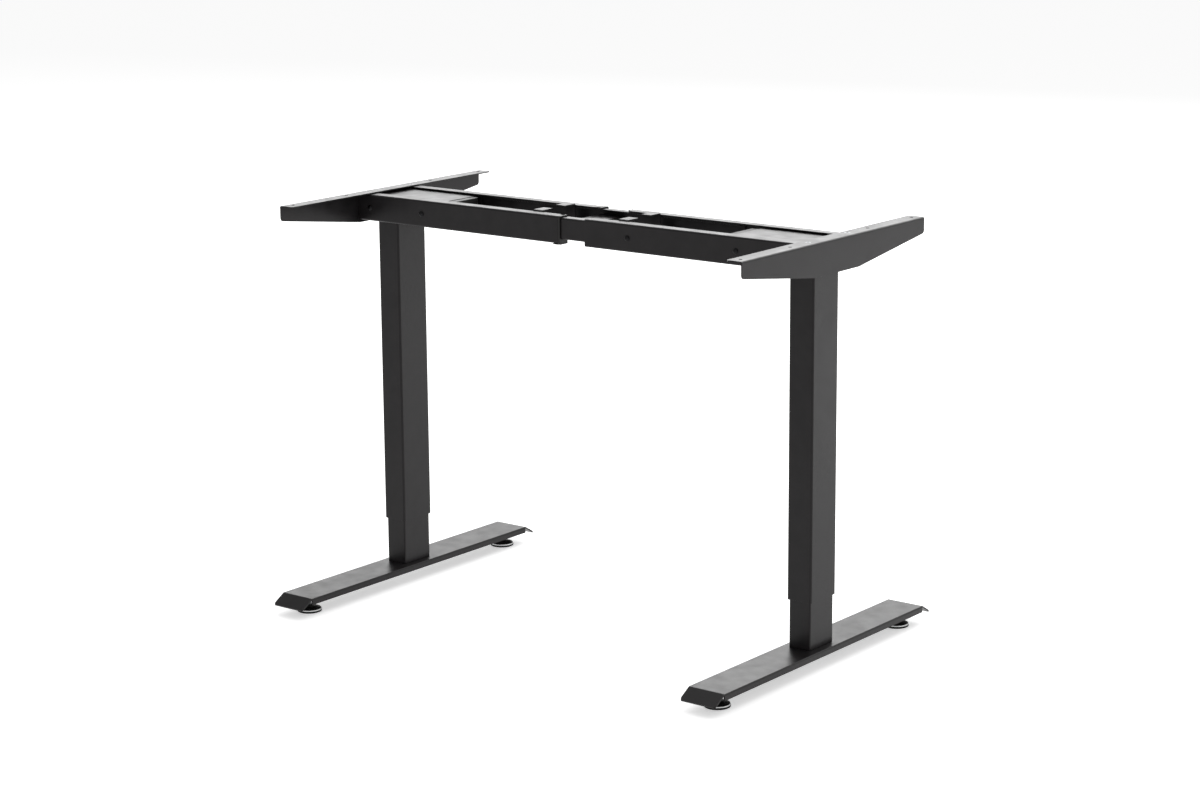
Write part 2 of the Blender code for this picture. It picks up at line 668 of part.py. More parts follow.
def slider(name, face, mat):
    """Smaller channel screwed inside a right rail, sliding in the left one."""
    y_out = face * SLIDER_OUT_Y
    y_lip = face * SLIDER_LIP_Y
    path = [(y_lip, SLIDER_TOP_Z), (y_out, SLIDER_TOP_Z), (y_out, SLIDER_BOTTOM_Z), (y_lip, SLIDER_BOTTOM_Z)]
    if face > 0:
        path = path[::-1]
    section = bent_sheet(path, SHEET, 1.0)
    body = make_object(name, prism(section, "x", -SLIDER_HALF_X, SLIDER_HALF_X), mat)
    hole = round_hole("y", SCREW_R + SCREW_CLEARANCE, (SLIDER_SCREW_X, SCREW_Z), -RAIL_OUT_Y, RAIL_OUT_Y)
    return combine(body, [hole], "DIFFERENCE")


def mouth_insert(name, face, mat):
    """Plastic collar on the open end of a left rail, round the slider, with a tongue under the rail."""
    outer_low = RAIL_BOTTOM_Z - INSERT_LOBE
    inner_low = SLIDER_BOTTOM_Z - GAP
    inner_high = SLIDER_TOP_Z + GAP
    y_in = face * (SLIDER_OUT_Y + GAP)
    y_out = face * RAIL_OUT_Y
    y_lip = face * RAIL_LIP_Y
    section = [
        (y_lip, RAIL_TOP_Z),
        (y_out, RAIL_TOP_Z),
        (y_out, outer_low),
        (y_lip, outer_low),
        (y_lip, inner_low),
        (y_in, inner_low),
        (y_in, inner_high),
        (y_lip, inner_high),
    ]
    end = -RAIL_END_X
    start = end - INSERT_FLANGE + GAP
    body = make_object(name, prism(section, "x", start, end), mat)
    under = RAIL_BOTTOM_Z - GAP
    tongue = [(y_lip, under), (y_out, under), (y_out, outer_low), (y_lip, outer_low)]
    combine(body, [cutter(tongue, "x", start - INSERT_TONGUE, start + 1.0)], "UNION")

    def on_lobe(a, b):
        return max(a.z, b.z) < outer_low + 0.01 and min(a.x, b.x) > end - 0.01

    return soften(body, 3.0, on_lobe, 3)


def tie(name, side, mat):
    """Cradle welded between the rails, its two ears level with the bracket tops."""
    edge = RAIL_LIP_Y - GAP
    low = RAIL_BOTTOM_Z + 1.0
    path = [
        (edge - TIE_EAR, TOP_Z),
        (edge, TOP_Z),
        (edge, low),
        (-edge, low),
        (-edge, TOP_Z),
        (TIE_EAR - edge, TOP_Z),
    ]
    section = bent_sheet(path[::-1], SHEET, 1.0)
    near, far = sorted((side * (TIE_X - TIE_WIDTH / 2), side * (TIE_X + TIE_WIDTH / 2)))
    return make_object(name, prism(section, "x", near, far), mat)


def centre_tie(name, mat):
    edge = SLIDER_OUT_Y - SHEET - GAP
    low = CENTRE_TIE_TOP_Z - CENTRE_TIE_DEPTH
    path = [(edge, low), (edge, CENTRE_TIE_TOP_Z), (-edge, CENTRE_TIE_TOP_Z), (-edge, low)]
    return make_object(name, prism(bent_sheet(path, SHEET, 1.0), "x", *CENTRE_TIE_X), mat)


def web_screw(name, x, face, mat):
    """Button head screw through a rail web, along y."""
    seat = RAIL_OUT_Y + GAP
    profile = [
        (0.0, seat + SCREW_HEAD),
        (SCREW_HEAD_R - 2.4, seat + SCREW_HEAD),
        (SCREW_HEAD_R - 0.8, seat + SCREW_HEAD * 0.6),
        (SCREW_HEAD_R, seat),
        (SCREW_R, seat),
        (SCREW_R, seat - SCREW_LENGTH),
        (0.0, seat - SCREW_LENGTH),
    ]
    bm = lathe(profile, HOLE_ROUND)
    turn = Matrix(((1, 0, 0, x), (0, 0, face, 0), (0, -face, 0, SCREW_Z), (0, 0, 0, 1)))
    bmesh.ops.transform(bm, matrix=turn, verts=bm.verts)
    return make_object(name, bm, mat)


def flange_screw(name, side, y, mat):
    """Countersunk screw that holds a side bracket down on a rail."""
    top = TOP_Z - 0.1
    profile = [
        (0.0, top),
        (CSK_HEAD_R, top),
        (SCREW_R, TOP_Z - SHEET),
        (SCREW_R, TOP_Z - CSK_LENGTH),
        (0.0, TOP_Z - CSK_LENGTH),
    ]
    return make_object(name, lathe(profile, HOLE_ROUND, (side * FLANGE_SCREW_X, y)), mat)


def build():
    clear_scene()
    coat = make_material("black_powder_coat", (0.02, 0.02, 0.022), 0.45, 0.0)
    plastic = make_material("black_plastic", (0.015, 0.015, 0.016), 0.55, 0.0)
    zinc = make_material("zinc_steel", (0.6, 0.6, 0.6), 0.35, 1.0)
    screw = make_material("black_screw", (0.03, 0.03, 0.03), 0.35, 1.0)
    casting = make_material("gear_casting", (0.55, 0.55, 0.56), 0.5, 1.0)
    nylon = make_material("white_nylon", (0.75, 0.75, 0.72), 0.5, 0.0)
    for word, side in (("left", -1), ("right", 1)):
        foot(f"{word}_foot", side, coat)
        inner_column(f"{word}_inner_column", side, coat)
        guide_nut(f"{word}_guide_nut", side, nylon)
        for place_word, y in (("front", -1), ("rear", 1)):
            foot_bolt(f"{word}_{place_word}_foot_bolt", side, y * FOOT_BOLT_Y, zinc)
            glide_stud(f"{word}_{place_word}_glide_stud", side, y * GLIDE_Y, zinc)
            glide_pad(f"{word}_{place_word}_glide_pad", side, y * GLIDE_Y, plastic)
        outer_column(f"{word}_outer_column", side, coat)
        lower_guide(f"{word}_lower_guide", side, nylon)
        leg_mount(f"{word}_leg_mount", side, coat)
        motor_cover(f"{word}_motor_cover", side, plastic)
        motor(f"{word}_motor", side, zinc)
        gearbox(f"{word}_gearbox", side, casting)
        spindle(f"{word}_spindle", side, zinc)
        side_bracket(f"{word}_side_bracket", side, coat)
        tie(f"{word}_tie", side, coat)
        for face_word, face in (("front", -1), ("rear", 1)):
            rail(f"{word}_{face_word}_rail", side, face, coat, side > 0)
            flange_screw(f"{word}_{face_word}_flange_screw", side, face * FLANGE_SCREW_Y, zinc)
            for number, x in enumerate(MOUNT_SCREWS_X, 1):
                web_screw(f"{word}_{face_word}_mount_screw_{number}", side * x, face, screw)
    for face_word, face in (("front", -1), ("rear", 1)):
        slider(f"{face_word}_slider", face, coat)
        mouth_insert(f"{face_word}_mouth_insert", face, plastic)
        web_screw(f"{face_word}_slider_screw", SLIDER_SCREW_X, face, screw)
    centre_tie("centre_tie", coat)
    bpy.context.view_layer.update()


build()
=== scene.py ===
import math

import bmesh
import bpy
from mathutils import Matrix, Vector


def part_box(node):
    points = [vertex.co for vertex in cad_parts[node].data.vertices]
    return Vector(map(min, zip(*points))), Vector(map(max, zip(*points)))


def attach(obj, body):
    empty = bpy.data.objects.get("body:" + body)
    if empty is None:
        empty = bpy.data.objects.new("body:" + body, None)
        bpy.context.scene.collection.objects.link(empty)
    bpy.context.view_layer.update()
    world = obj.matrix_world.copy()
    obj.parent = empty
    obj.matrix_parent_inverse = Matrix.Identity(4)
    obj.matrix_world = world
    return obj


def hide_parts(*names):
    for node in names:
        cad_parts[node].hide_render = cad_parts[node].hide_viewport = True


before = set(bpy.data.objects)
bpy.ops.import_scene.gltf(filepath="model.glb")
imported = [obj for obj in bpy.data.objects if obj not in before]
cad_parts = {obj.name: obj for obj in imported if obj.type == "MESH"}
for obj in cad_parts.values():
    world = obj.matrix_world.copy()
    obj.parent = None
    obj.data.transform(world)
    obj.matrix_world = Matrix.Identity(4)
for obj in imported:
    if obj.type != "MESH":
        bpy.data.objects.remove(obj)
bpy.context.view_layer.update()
mm = 0.001
sides = (("left", -1), ("right", 1))
faces = (("front", -1), ("rear", 1))
print("frame loaded:", len(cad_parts), "nodes")


def boxMm(node):
    low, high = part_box(node)
    return low / mm, high / mm


def middleMm(node):
    low, high = boxMm(node)
    return (low + high) / 2


def toLinear(hexColour):
    channels = [int(hexColour[i:i + 2], 16) / 255 for i in (1, 3, 5)]
    linear = [c / 12.92 if c <= 0.04045 else ((c + 0.055) / 1.055) ** 2.4 for c in channels]
    return (*linear, 1.0)


# adds a node, sets its sockets from values or links them from other sockets, and sets its options
def addNode(tree, kind, sockets=None, **options):
    node = tree.nodes.new(kind)
    for option, value in options.items():
        setattr(node, option, value)
    for key, value in (sockets or {}).items():
        if isinstance(value, bpy.types.NodeSocket):
            tree.links.new(value, node.inputs[key])
        else:
            node.inputs[key].default_value = value
    return node


# an empty material and its node tree
def newFinish(name):
    finish = bpy.data.materials.new(name)
    finish.use_nodes = True
    finish.node_tree.nodes.clear()
    return finish, finish.node_tree


# noise on the object's own coordinates; size is that of one grain in millimetres
def grainNoise(tree, size, detail=2.0, roughness=0.5):
    place = addNode(tree, "ShaderNodeTexCoord")
    sockets = {
        "Vector": place.outputs["Object"], "Scale": 1 / (size * mm), "Detail": detail, "Roughness": roughness}
    return addNode(tree, "ShaderNodeTexNoise", sockets).outputs["Fac"]


# bumps of a depth in millimetres, laid over another bump if one is given
def addBump(tree, height, depth, under=None):
    sockets = {"Height": height, "Distance": depth * mm, "Strength": 1.0}
    if under is not None:
        sockets["Normal"] = under
    return addNode(tree, "ShaderNodeBump", sockets).outputs["Normal"]


# noise lies mostly between 0.3 and 0.7, so that stretch is spread over the wanted range
def spreadValue(tree, source, low, high):
    sockets = {"Value": source, "From Min": 0.3, "From Max": 0.7, "To Min": low, "To Max": high}
    return addNode(tree, "ShaderNodeMapRange", sockets).outputs["Result"]


def blendColours(tree, amount, first, second):
    mix = addNode(tree, "ShaderNodeMix", {"Factor": amount}, data_type="RGBA")
    mix.inputs[6].default_value = toLinear(first)
    mix.inputs[7].default_value = toLinear(second)
    return mix.outputs[2]


def closeFinish(tree, sockets):
    shader = addNode(tree, "ShaderNodeBsdfPrincipled", sockets)
    addNode(tree, "ShaderNodeOutputMaterial", {"Surface": shader.outputs["BSDF"]})


# polyester powder coat, baked on: satin, with a fine orange peel and almost no colour of its own
powderCoat = dict(
    dark="#141213", light="#1c1a1b", gloss=(0.3, 0.4), ior=1.29,
    peelSize=2.4, peelDepth=0.03, fleckSize=0.5, fleckDepth=0.006, cloudSize=30)


def makePowderCoat(spec):
    finish, tree = newFinish("satinBlackPowderCoat")
    peel = grainNoise(tree, spec["peelSize"], 1.0)
    fleck = grainNoise(tree, spec["fleckSize"], 2.0, 0.6)
    cloud = grainNoise(tree, spec["cloudSize"], 3.0)
    peelBump = addBump(tree, peel, spec["peelDepth"])
    fleckBump = addBump(tree, fleck, spec["fleckDepth"], peelBump)
    closeFinish(tree, {
        "Base Color": blendColours(tree, spreadValue(tree, cloud, 0.0, 1.0), spec["dark"], spec["light"]),
        "Roughness": spreadValue(tree, cloud, *spec["gloss"]),
        "IOR": spec["ior"],
        "Normal": fleckBump})
    return finish


# moulded ABS with a spark eroded grain, a little browner and duller than the coat
mouldedAbs = dict(
    dark="#131212", light="#1a1918", gloss=(0.42, 0.55), ior=1.34, grainSize=0.45, grainDepth=0.02)

# rubber sole of the glides: matt, with a soft bloom
glideRubber = dict(
    dark="#0b0b0b", light="#131313", gloss=(0.55, 0.7), ior=1.33, grainSize=0.8, grainDepth=0.01)

# white acetal guides: waxy, slightly warm
whiteAcetal = dict(
    dark="#dcdad2", light="#e8e6df", gloss=(0.35, 0.45), ior=1.48, grainSize=1.2, grainDepth=0.004)


def makeMoulding(name, spec):
    finish, tree = newFinish(name)
    grain = grainNoise(tree, spec["grainSize"], 2.0, 0.6)
    flow = grainNoise(tree, spec["grainSize"] * 40, 3.0)  # broad flow marks under the fine grain
    bump = addBump(tree, grain, spec["grainDepth"])
    closeFinish(tree, {
        "Base Color": blendColours(tree, spreadValue(tree, flow, 0.0, 1.0), spec["dark"], spec["light"]),
        "Roughness": spreadValue(tree, flow, *spec["gloss"]),
        "IOR": spec["ior"],
        "Normal": bump})
    return finish


# bright zinc plate on bolts, studs and the motor can: cool grey, faint crystals
zincPlate = dict(dark="#a9abad", light="#c6c8c9", gloss=(0.24, 0.38), grainSize=2.5, grainDepth=0.004)

# dull zinc of the sunk screws, darker under its passivation
dullZinc = dict(dark="#6f7173", light="#858789", gloss=(0.38, 0.5), grainSize=2.5, grainDepth=0.004)

# rolled rim of the glides, plain bright steel
rolledSteel = dict(dark="#d2d3d4", light="#e0e1e1", gloss=(0.22, 0.32), grainSize=3.0, grainDepth=0.003)

# black oxide on the rail screws: oily near-black metal
blackOxide = dict(dark="#1d1d1e", light="#2a2a2b", gloss=(0.3, 0.45), grainSize=1.5, grainDepth=0.003)

# die cast aluminium gear case: sandy, grey
castAluminium = dict(dark="#8b8d8f", light="#a5a7a8", gloss=(0.45, 0.6), grainSize=0.9, grainDepth=0.03)


def makeMetal(name, spec):
    finish, tree = newFinish(name)
    grain = grainNoise(tree, spec["grainSize"], 3.0, 0.6)
    bump = addBump(tree, grain, spec["grainDepth"])
    closeFinish(tree, {
        "Base Color": blendColours(tree, spreadValue(tree, grain, 0.0, 1.0), spec["dark"], spec["light"]),
        "Roughness": spreadValue(tree, grain, *spec["gloss"]),
        "Metallic": 1.0,
        "Normal": bump})
    return finish


coat = makePowderCoat(powderCoat)
plastic = makeMoulding("sparkGrainedBlackAbs", mouldedAbs)
rubber = makeMoulding("blackGlideRubber", glideRubber)
acetal = makeMoulding("whiteAcetal", whiteAcetal)
zinc = makeMetal("brightZincPlate", zincPlate)
sunkZinc = makeMetal("dullZincPlate", dullZinc)
brightSteel = makeMetal("rolledBrightSteel", rolledSteel)
oxide = makeMetal("oiledBlackOxide", blackOxide)
cast = makeMetal("dieCastAluminium", castAluminium)
print("finishes ready")


# a point of a flat outline, placed at a distance along the axis that the outline is pushed along
def alongAxis(point, axis, distance):
    a, b = point
    if axis == "x":
        return Vector((distance, a, b))
    if axis == "y":
        return Vector((a, distance, b))
    return Vector((a, b, distance))


# turns a shape drawn in millimetres into an object in metres
def toObject(name, shape):
    bmesh.ops.recalc_face_normals(shape, faces=shape.faces)
    bmesh.ops.scale(shape, vec=(mm, mm, mm), verts=shape.verts)
    mesh = bpy.data.meshes.new(name)
    shape.to_mesh(mesh)
    shape.free()
    piece = bpy.data.objects.new(name, mesh)
    bpy.context.scene.collection.objects.link(piece)
    return piece


# an outline in millimetres pushed along an axis; inner is a second outline with as many points
def pushOutline(name, outline, axis, low, high, inner=None):
    shape = bmesh.new()
    rings = []
    for loop in ([outline] if inner is None else [outline, inner]):
        near = [shape.verts.new(alongAxis(p, axis, low)) for p in loop]
        far = [shape.verts.new(alongAxis(p, axis, high)) for p in loop]
        rings.append((near, far))
        for i in range(len(loop)):
            j = (i + 1) % len(loop)
            shape.faces.new((near[i], near[j], far[j], far[i]))
    for end in (0, 1):
        if inner is None:
            shape.faces.new(rings[0][end])
            continue
        outer, hollow = rings[0][end], rings[1][end]
        for i in range(len(outer)):
            j = (i + 1) % len(outer)
            shape.faces.new((outer[i], outer[j], hollow[j], hollow[i]))
    return toObject(name, shape)


# points of the arc that rounds a corner; before and after are the directions into it and out of it
def roundCorner(corner, before, after, radius, steps):
    cross = before.x * after.y - before.y * after.x
    angle = math.atan2(cross, before.dot(after))
    if abs(angle) < 1e-6 or radius <= 0:
        return [tuple(corner)]
    start = corner - before * (radius * math.tan(abs(angle) / 2))
    middle = start + Vector((-before.y, before.x)) * math.copysign(radius, angle)
    turns = [Matrix.Rotation(angle * k / steps, 2) for k in range(steps + 1)]
    return [tuple(middle + turn @ (start - middle)) for turn in turns]


def roundedLoop(corners, radii, steps=6):
    points = []
    for i, corner in enumerate(corners):
        here = Vector(corner)
        before = (here - Vector(corners[i - 1])).normalized()
        after = (Vector(corners[(i + 1) % len(corners)]) - here).normalized()
        points += roundCorner(here, before, after, radii[i], steps)
    return points


def roundedBox(lowA, highA, lowB, highB, radius, steps=6):
    return roundedLoop([(highA, lowB), (highA, highB), (lowA, highB), (lowA, lowB)], [radius] * 4, steps)


# outline of a folded sheet that lies to the left of its path
def foldedOutline(path, sheet, bend, steps=6):
    nodes = [Vector(p) for p in path]
    ways = [(b - a).normalized() for a, b in zip(nodes, nodes[1:])]
    normals = [Vector((-w.y, w.x)) for w in ways]
    right = [tuple(nodes[0])]
    left = [tuple(nodes[0] + normals[0] * sheet)]
    for i in range(1, len(nodes) - 1):
        before, after = ways[i - 1], ways[i]
        turnsLeft = before.x * after.y - before.y * after.x > 0
        rightBend, leftBend = (bend + sheet, bend) if turnsLeft else (bend, bend + sheet)
        mitre = (normals[i - 1] + normals[i]) / (1 + normals[i - 1].dot(normals[i]))
        right += roundCorner(nodes[i], before, after, rightBend, steps)
        left += roundCorner(nodes[i] + mitre * sheet, before, after, leftBend, steps)
    right.append(tuple(nodes[-1]))
    left.append(tuple(nodes[-1] + normals[-1] * sheet))
    return right + left[::-1]


# a profile of (radius, height) points turned about an axis through centre
def turnProfile(name, profile, centre, axis="z", steps=48, sense=1):
    shape = bmesh.new()
    verts = [shape.verts.new((radius, 0, height)) for radius, height in profile]
    edges = [shape.edges.new(pair) for pair in zip(verts, verts[1:])]
    bmesh.ops.spin(
        shape, geom=verts + edges, angle=2 * math.pi, steps=steps, axis=(0, 0, 1), cent=(0, 0, 0),
        use_merge=True)
    bmesh.ops.remove_doubles(shape, verts=shape.verts, dist=1e-4)
    turns = {
        "z": Matrix.Scale(sense, 4, (0, 0, 1)),
        "x": Matrix(((0, 0, sense, 0), (0, 1, 0, 0), (-sense, 0, 0, 0), (0, 0, 0, 1))),
        "y": Matrix(((1, 0, 0, 0), (0, 0, sense, 0), (0, -sense, 0, 0), (0, 0, 0, 1)))}
    bmesh.ops.transform(shape, matrix=Matrix.Translation(centre) @ turns[axis], verts=shape.verts)
    return toObject(name, shape)


def bakeModifiers(piece):
    bpy.context.view_layer.update()
    graph = bpy.context.evaluated_depsgraph_get()
    mesh = bpy.data.meshes.new_from_object(piece.evaluated_get(graph))
    piece.modifiers.clear()
    piece.data = mesh
    mesh.name = piece.name


def combineWith(piece, tools, operation):
    for tool in tools:
        modifier = piece.modifiers.new("combine", "BOOLEAN")
        modifier.operation = operation
        modifier.solver = "EXACT"
        modifier.object = tool
        bakeModifiers(piece)
        bpy.data.objects.remove(tool)
    return piece


# a round bar that cuts a hole, or adds a hub
def roundHole(axis, radius, centre, low, high, steps=28):
    turns = [2 * math.pi * i / steps for i in range(steps)]
    outline = [(centre[0] + radius * math.cos(t), centre[1] + radius * math.sin(t)) for t in turns]
    return pushOutline("hole", outline, axis, low, high)


# corners of a hexagon, from its width across the flats
def hexagon(width, x=0, y=0):
    reach = width / math.sqrt(3)
    return [(x + reach * math.cos(math.pi / 3 * k), y + reach * math.sin(math.pi / 3 * k)) for k in range(6)]


# section of a channel with its back on the outside, from the box that holds it
def channelSection(low, high, face):
    outY, lipY = (high.y, low.y) if face > 0 else (low.y, high.y)
    path = [(lipY, high.z), (outY, high.z), (outY, low.z), (lipY, low.z)]
    return foldedOutline(path[::-1] if face > 0 else path, sheetWork["sheet"], sheetWork["bend"])


# section of a plate bridge with both sides folded down, from the box that holds it
def bridgeSection(low, high, sheet, bend):
    return foldedOutline([(high.y, low.z), (high.y, high.z), (low.y, high.z), (low.y, low.z)], sheet, bend)


# rounds the sharp edges, smooths the bends, gives the finish, and hands the piece to its body
def finishPiece(piece, finish, body, replaced=(), edge=0.35):
    bpy.context.view_layer.update()
    if edge:
        bevel = piece.modifiers.new("brokenEdges", "BEVEL")
        bevel.width = edge * mm
        bevel.segments = 2
        bevel.limit_method = "ANGLE"
        bevel.angle_limit = math.radians(42)
        bevel.use_clamp_overlap = True
        bevel.harden_normals = False
        bakeModifiers(piece)
    mesh = piece.data
    mesh.materials.clear()
    mesh.materials.append(finish)
    mesh.polygons.foreach_set("material_index", [0] * len(mesh.polygons))
    mesh.polygons.foreach_set("use_smooth", [True] * len(mesh.polygons))
    mesh.set_sharp_from_angle(angle=math.radians(38))
    flatten = piece.modifiers.new("flatFaces", "WEIGHTED_NORMAL")
    flatten.keep_sharp = True
    flatten.weight = 80
    bakeModifiers(piece)
    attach(piece, body)
    if replaced:
        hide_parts(*replaced)


# a geometry node tree with named inputs, given as a socket kind and a default each
def newTree(name, inputs):
    tree = bpy.data.node_groups.new(name, "GeometryNodeTree")
    tree.interface.new_socket("Geometry", in_out="INPUT", socket_type="NodeSocketGeometry")
    for label, (kind, value) in inputs.items():
        socket = tree.interface.new_socket(label, in_out="INPUT", socket_type=kind)
        if value is not None:
            socket.default_value = value
    tree.interface.new_socket("Geometry", in_out="OUTPUT", socket_type="NodeSocketGeometry")
    return tree, addNode(tree, "NodeGroupInput").outputs


# every tree ends with real geometry in the piece's own finish
def endTree(tree, geometry, finish):
    real = addNode(tree, "GeometryNodeRealizeInstances", {"Geometry": geometry})
    dressed = addNode(tree, "GeometryNodeSetMaterial", {
        "Geometry": real.outputs["Geometry"], "Material": finish})
    addNode(tree, "NodeGroupOutput", {"Geometry": dressed.outputs["Geometry"]})


# runs a tree on a mesh of points or edges and keeps the result as a plain mesh
def growPiece(name, seed, tree, values):
    piece = bpy.data.objects.new(name, seed)
    bpy.context.scene.collection.objects.link(piece)
    modifier = piece.modifiers.new(tree.name, "NODES")
    modifier.node_group = tree
    for item in tree.interface.items_tree:
        if item.in_out == "INPUT" and item.name in values:
            modifier[item.identifier] = values[item.name]
    bakeModifiers(piece)
    return piece


# the points or edges, in millimetres, that a tree grows its piece on
def seedMesh(name, points, edges=(), directions=None):
    mesh = bpy.data.meshes.new(name)
    mesh.from_pydata([Vector(p) * mm for p in points], edges, [])
    if directions:
        facing = mesh.attributes.new("facing", "FLOAT_VECTOR", "POINT")
        facing.data.foreach_set("vector", [c for d in directions for c in d])
    return mesh


# places a fastener on every point, its head turned to face outwards
def fastenerTree():
    tree, given = newTree("placedFasteners", {
        "Fastener": ("NodeSocketObject", None),
        "Finish": ("NodeSocketMaterial", None),
        "Turn Seed": ("NodeSocketInt", 3)})
    facing = addNode(tree, "GeometryNodeInputNamedAttribute", {"Name": "facing"}, data_type="FLOAT_VECTOR")
    aim = addNode(tree, "FunctionNodeAlignRotationToVector", {
        "Vector": facing.outputs["Attribute"]}, axis="Z")
    spin = addNode(tree, "FunctionNodeRandomValue", {"Seed": given["Turn Seed"]}, data_type="FLOAT")
    spin.inputs[3].default_value = math.pi / 3  # a sixth of a turn is all that shows on a hexagon key
    spun = addNode(tree, "FunctionNodeRotateRotation", {
        "Rotation": aim.outputs["Rotation"]}, rotation_space="LOCAL")
    turn = addNode(tree, "FunctionNodeAxisAngleToRotation", {"Axis": (0, 0, 1), "Angle": spin.outputs[1]})
    tree.links.new(turn.outputs["Rotation"], spun.inputs["Rotate By"])
    shape = addNode(tree, "GeometryNodeObjectInfo", {"Object": given["Fastener"]}, transform_space="ORIGINAL")
    placed = addNode(tree, "GeometryNodeInstanceOnPoints", {
        "Points": given["Geometry"], "Instance": shape.outputs["Geometry"],
        "Rotation": spun.outputs["Rotation"]})
    endTree(tree, placed.outputs["Instances"], given["Finish"])
    return tree


# a round bar with a helical thread standing on it, for each edge of the seed mesh
def threadTree():
    tree, given = newTree("threadedRod", {
        "Radius": ("NodeSocketFloat", 0.004),
        "Pitch": ("NodeSocketFloat", 0.00125),
        "Depth": ("NodeSocketFloat", 0.0007),
        "Length": ("NodeSocketFloat", 0.03),
        "Finish": ("NodeSocketMaterial", None)})
    turns = addNode(tree, "ShaderNodeMath", {0: given["Length"], 1: given["Pitch"]}, operation="DIVIDE")
    ridge = addNode(tree, "ShaderNodeMath", {0: given["Radius"], 1: given["Depth"]}, operation="SUBTRACT")
    # just under half the pitch, so that neighbouring ridges nearly meet
    half = addNode(tree, "ShaderNodeMath", {0: given["Pitch"], 1: 0.46}, operation="MULTIPLY")
    helix = addNode(tree, "GeometryNodeCurveSpiral", {
        "Resolution": 18, "Rotations": turns.outputs[0], "Start Radius": ridge.outputs[0],
        "End Radius": ridge.outputs[0], "Height": given["Length"]})
    profile = addNode(tree, "GeometryNodeCurvePrimitiveCircle", {"Resolution": 4, "Radius": half.outputs[0]})
    flat = addNode(tree, "ShaderNodeMath", {0: given["Depth"], 1: half.outputs[0]}, operation="DIVIDE")
    squeeze = addNode(tree, "ShaderNodeCombineXYZ", {"X": 1.0, "Y": flat.outputs[0], "Z": 1.0})
    shaped = addNode(tree, "GeometryNodeTransform", {
        "Geometry": profile.outputs["Curve"], "Scale": squeeze.outputs[0]})
    upright = addNode(tree, "GeometryNodeSetCurveNormal", {"Curve": helix.outputs["Curve"]}, mode="Z_UP")
    flank = addNode(tree, "GeometryNodeCurveToMesh", {
        "Curve": upright.outputs["Curve"], "Profile Curve": shaped.outputs["Geometry"], "Fill Caps": True})
    core = addNode(tree, "GeometryNodeMeshCylinder", {
        "Vertices": 32, "Radius": ridge.outputs[0], "Depth": given["Length"]})
    middle = addNode(tree, "ShaderNodeMath", {0: given["Length"], 1: 0.5}, operation="MULTIPLY")
    lift = addNode(tree, "ShaderNodeCombineXYZ", {"Z": middle.outputs[0]})
    raised = addNode(tree, "GeometryNodeTransform", {
        "Geometry": core.outputs["Mesh"], "Translation": lift.outputs[0]})
    both = addNode(tree, "GeometryNodeJoinGeometry")
    tree.links.new(raised.outputs["Geometry"], both.inputs[0])
    tree.links.new(flank.outputs["Mesh"], both.inputs[0])
    placed = addNode(tree, "GeometryNodeInstanceOnPoints", {
        "Points": given["Geometry"], "Instance": both.outputs["Geometry"]})
    endTree(tree, placed.outputs["Instances"], given["Finish"])
    return tree


# a fillet weld: overlapping scales laid along each edge of the seed mesh
def weldTree():
    tree, given = newTree("weldBead", {
        "Width": ("NodeSocketFloat", 0.0035),
        "Ripple": ("NodeSocketFloat", 0.0013),
        "Seed": ("NodeSocketInt", 11),
        "Finish": ("NodeSocketMaterial", None)})
    line = addNode(tree, "GeometryNodeMeshToCurve", {"Mesh": given["Geometry"]})
    points = addNode(tree, "GeometryNodeCurveToPoints", {
        "Curve": line.outputs["Curve"], "Length": given["Ripple"]}, mode="LENGTH")
    ball = addNode(tree, "GeometryNodeMeshUVSphere", {"Segments": 10, "Rings": 6, "Radius": given["Width"]})
    size = addNode(tree, "FunctionNodeRandomValue", {"Seed": given["Seed"]}, data_type="FLOAT")
    size.inputs[2].default_value = 0.44  # smallest and largest scale of a bead
    size.inputs[3].default_value = 0.54
    placed = addNode(tree, "GeometryNodeInstanceOnPoints", {
        "Points": points.outputs["Points"], "Instance": ball.outputs["Mesh"], "Scale": size.outputs[1]})
    endTree(tree, placed.outputs["Instances"], given["Finish"])
    return tree


fasteners = fastenerTree()
threads = threadTree()
welds = weldTree()
print("node trees ready")


foot = dict(
    sheet=3.0, bend=1.2, flange=12.7, flangeSheet=2.8, flangeGap=0.8, slopeRun=29.0, slopeDrop=17.0,
    slopeBend=2.4, cornerRadius=8.0, step=0.6, boltSpacing=25.5, boltHole=4.3, nutWidth=17.0, nutDrop=15.0,
    nutHole=4.3, weld=4.0)


# a channel with short flanges, and over it a plate that slopes down at both ends
def makeFoot(word, spec):
    low, high = boxMm(f"{word}_foot")
    middle, top = (low.x + high.x) / 2, high.z
    flat = high.y - spec["slopeRun"]
    reach = flat - spec["flangeGap"]
    folds = [(high.x, top - spec["flange"]), (high.x, top), (low.x, top), (low.x, top - spec["flange"])]
    section = foldedOutline(folds, spec["flangeSheet"], spec["bend"])
    body = pushOutline(f"{word}Foot", section, "y", -reach, reach)
    left, right = low.x + spec["step"], high.x - spec["step"]
    spine = [(high.y, top - spec["slopeDrop"]), (flat, top), (-flat, top), (-high.y, top - spec["slopeDrop"])]
    plate = pushOutline("plate", foldedOutline(spine, spec["sheet"], spec["slopeBend"]), "x", left, right)
    outline = roundedBox(left, right, -high.y - 1, high.y + 1, spec["cornerRadius"], 8)
    combineWith(plate, [pushOutline("outline", outline, "z", 0, top + 10)], "INTERSECT")
    combineWith(body, [plate], "UNION")
    spots = [(middle, -spec["boltSpacing"]), (middle, spec["boltSpacing"])]
    combineWith(body, [roundHole("z", spec["boltHole"], spot, 0, top + 5) for spot in spots], "DIFFERENCE")
    finishPiece(body, coat, f"{word}_base", [f"{word}_foot"])


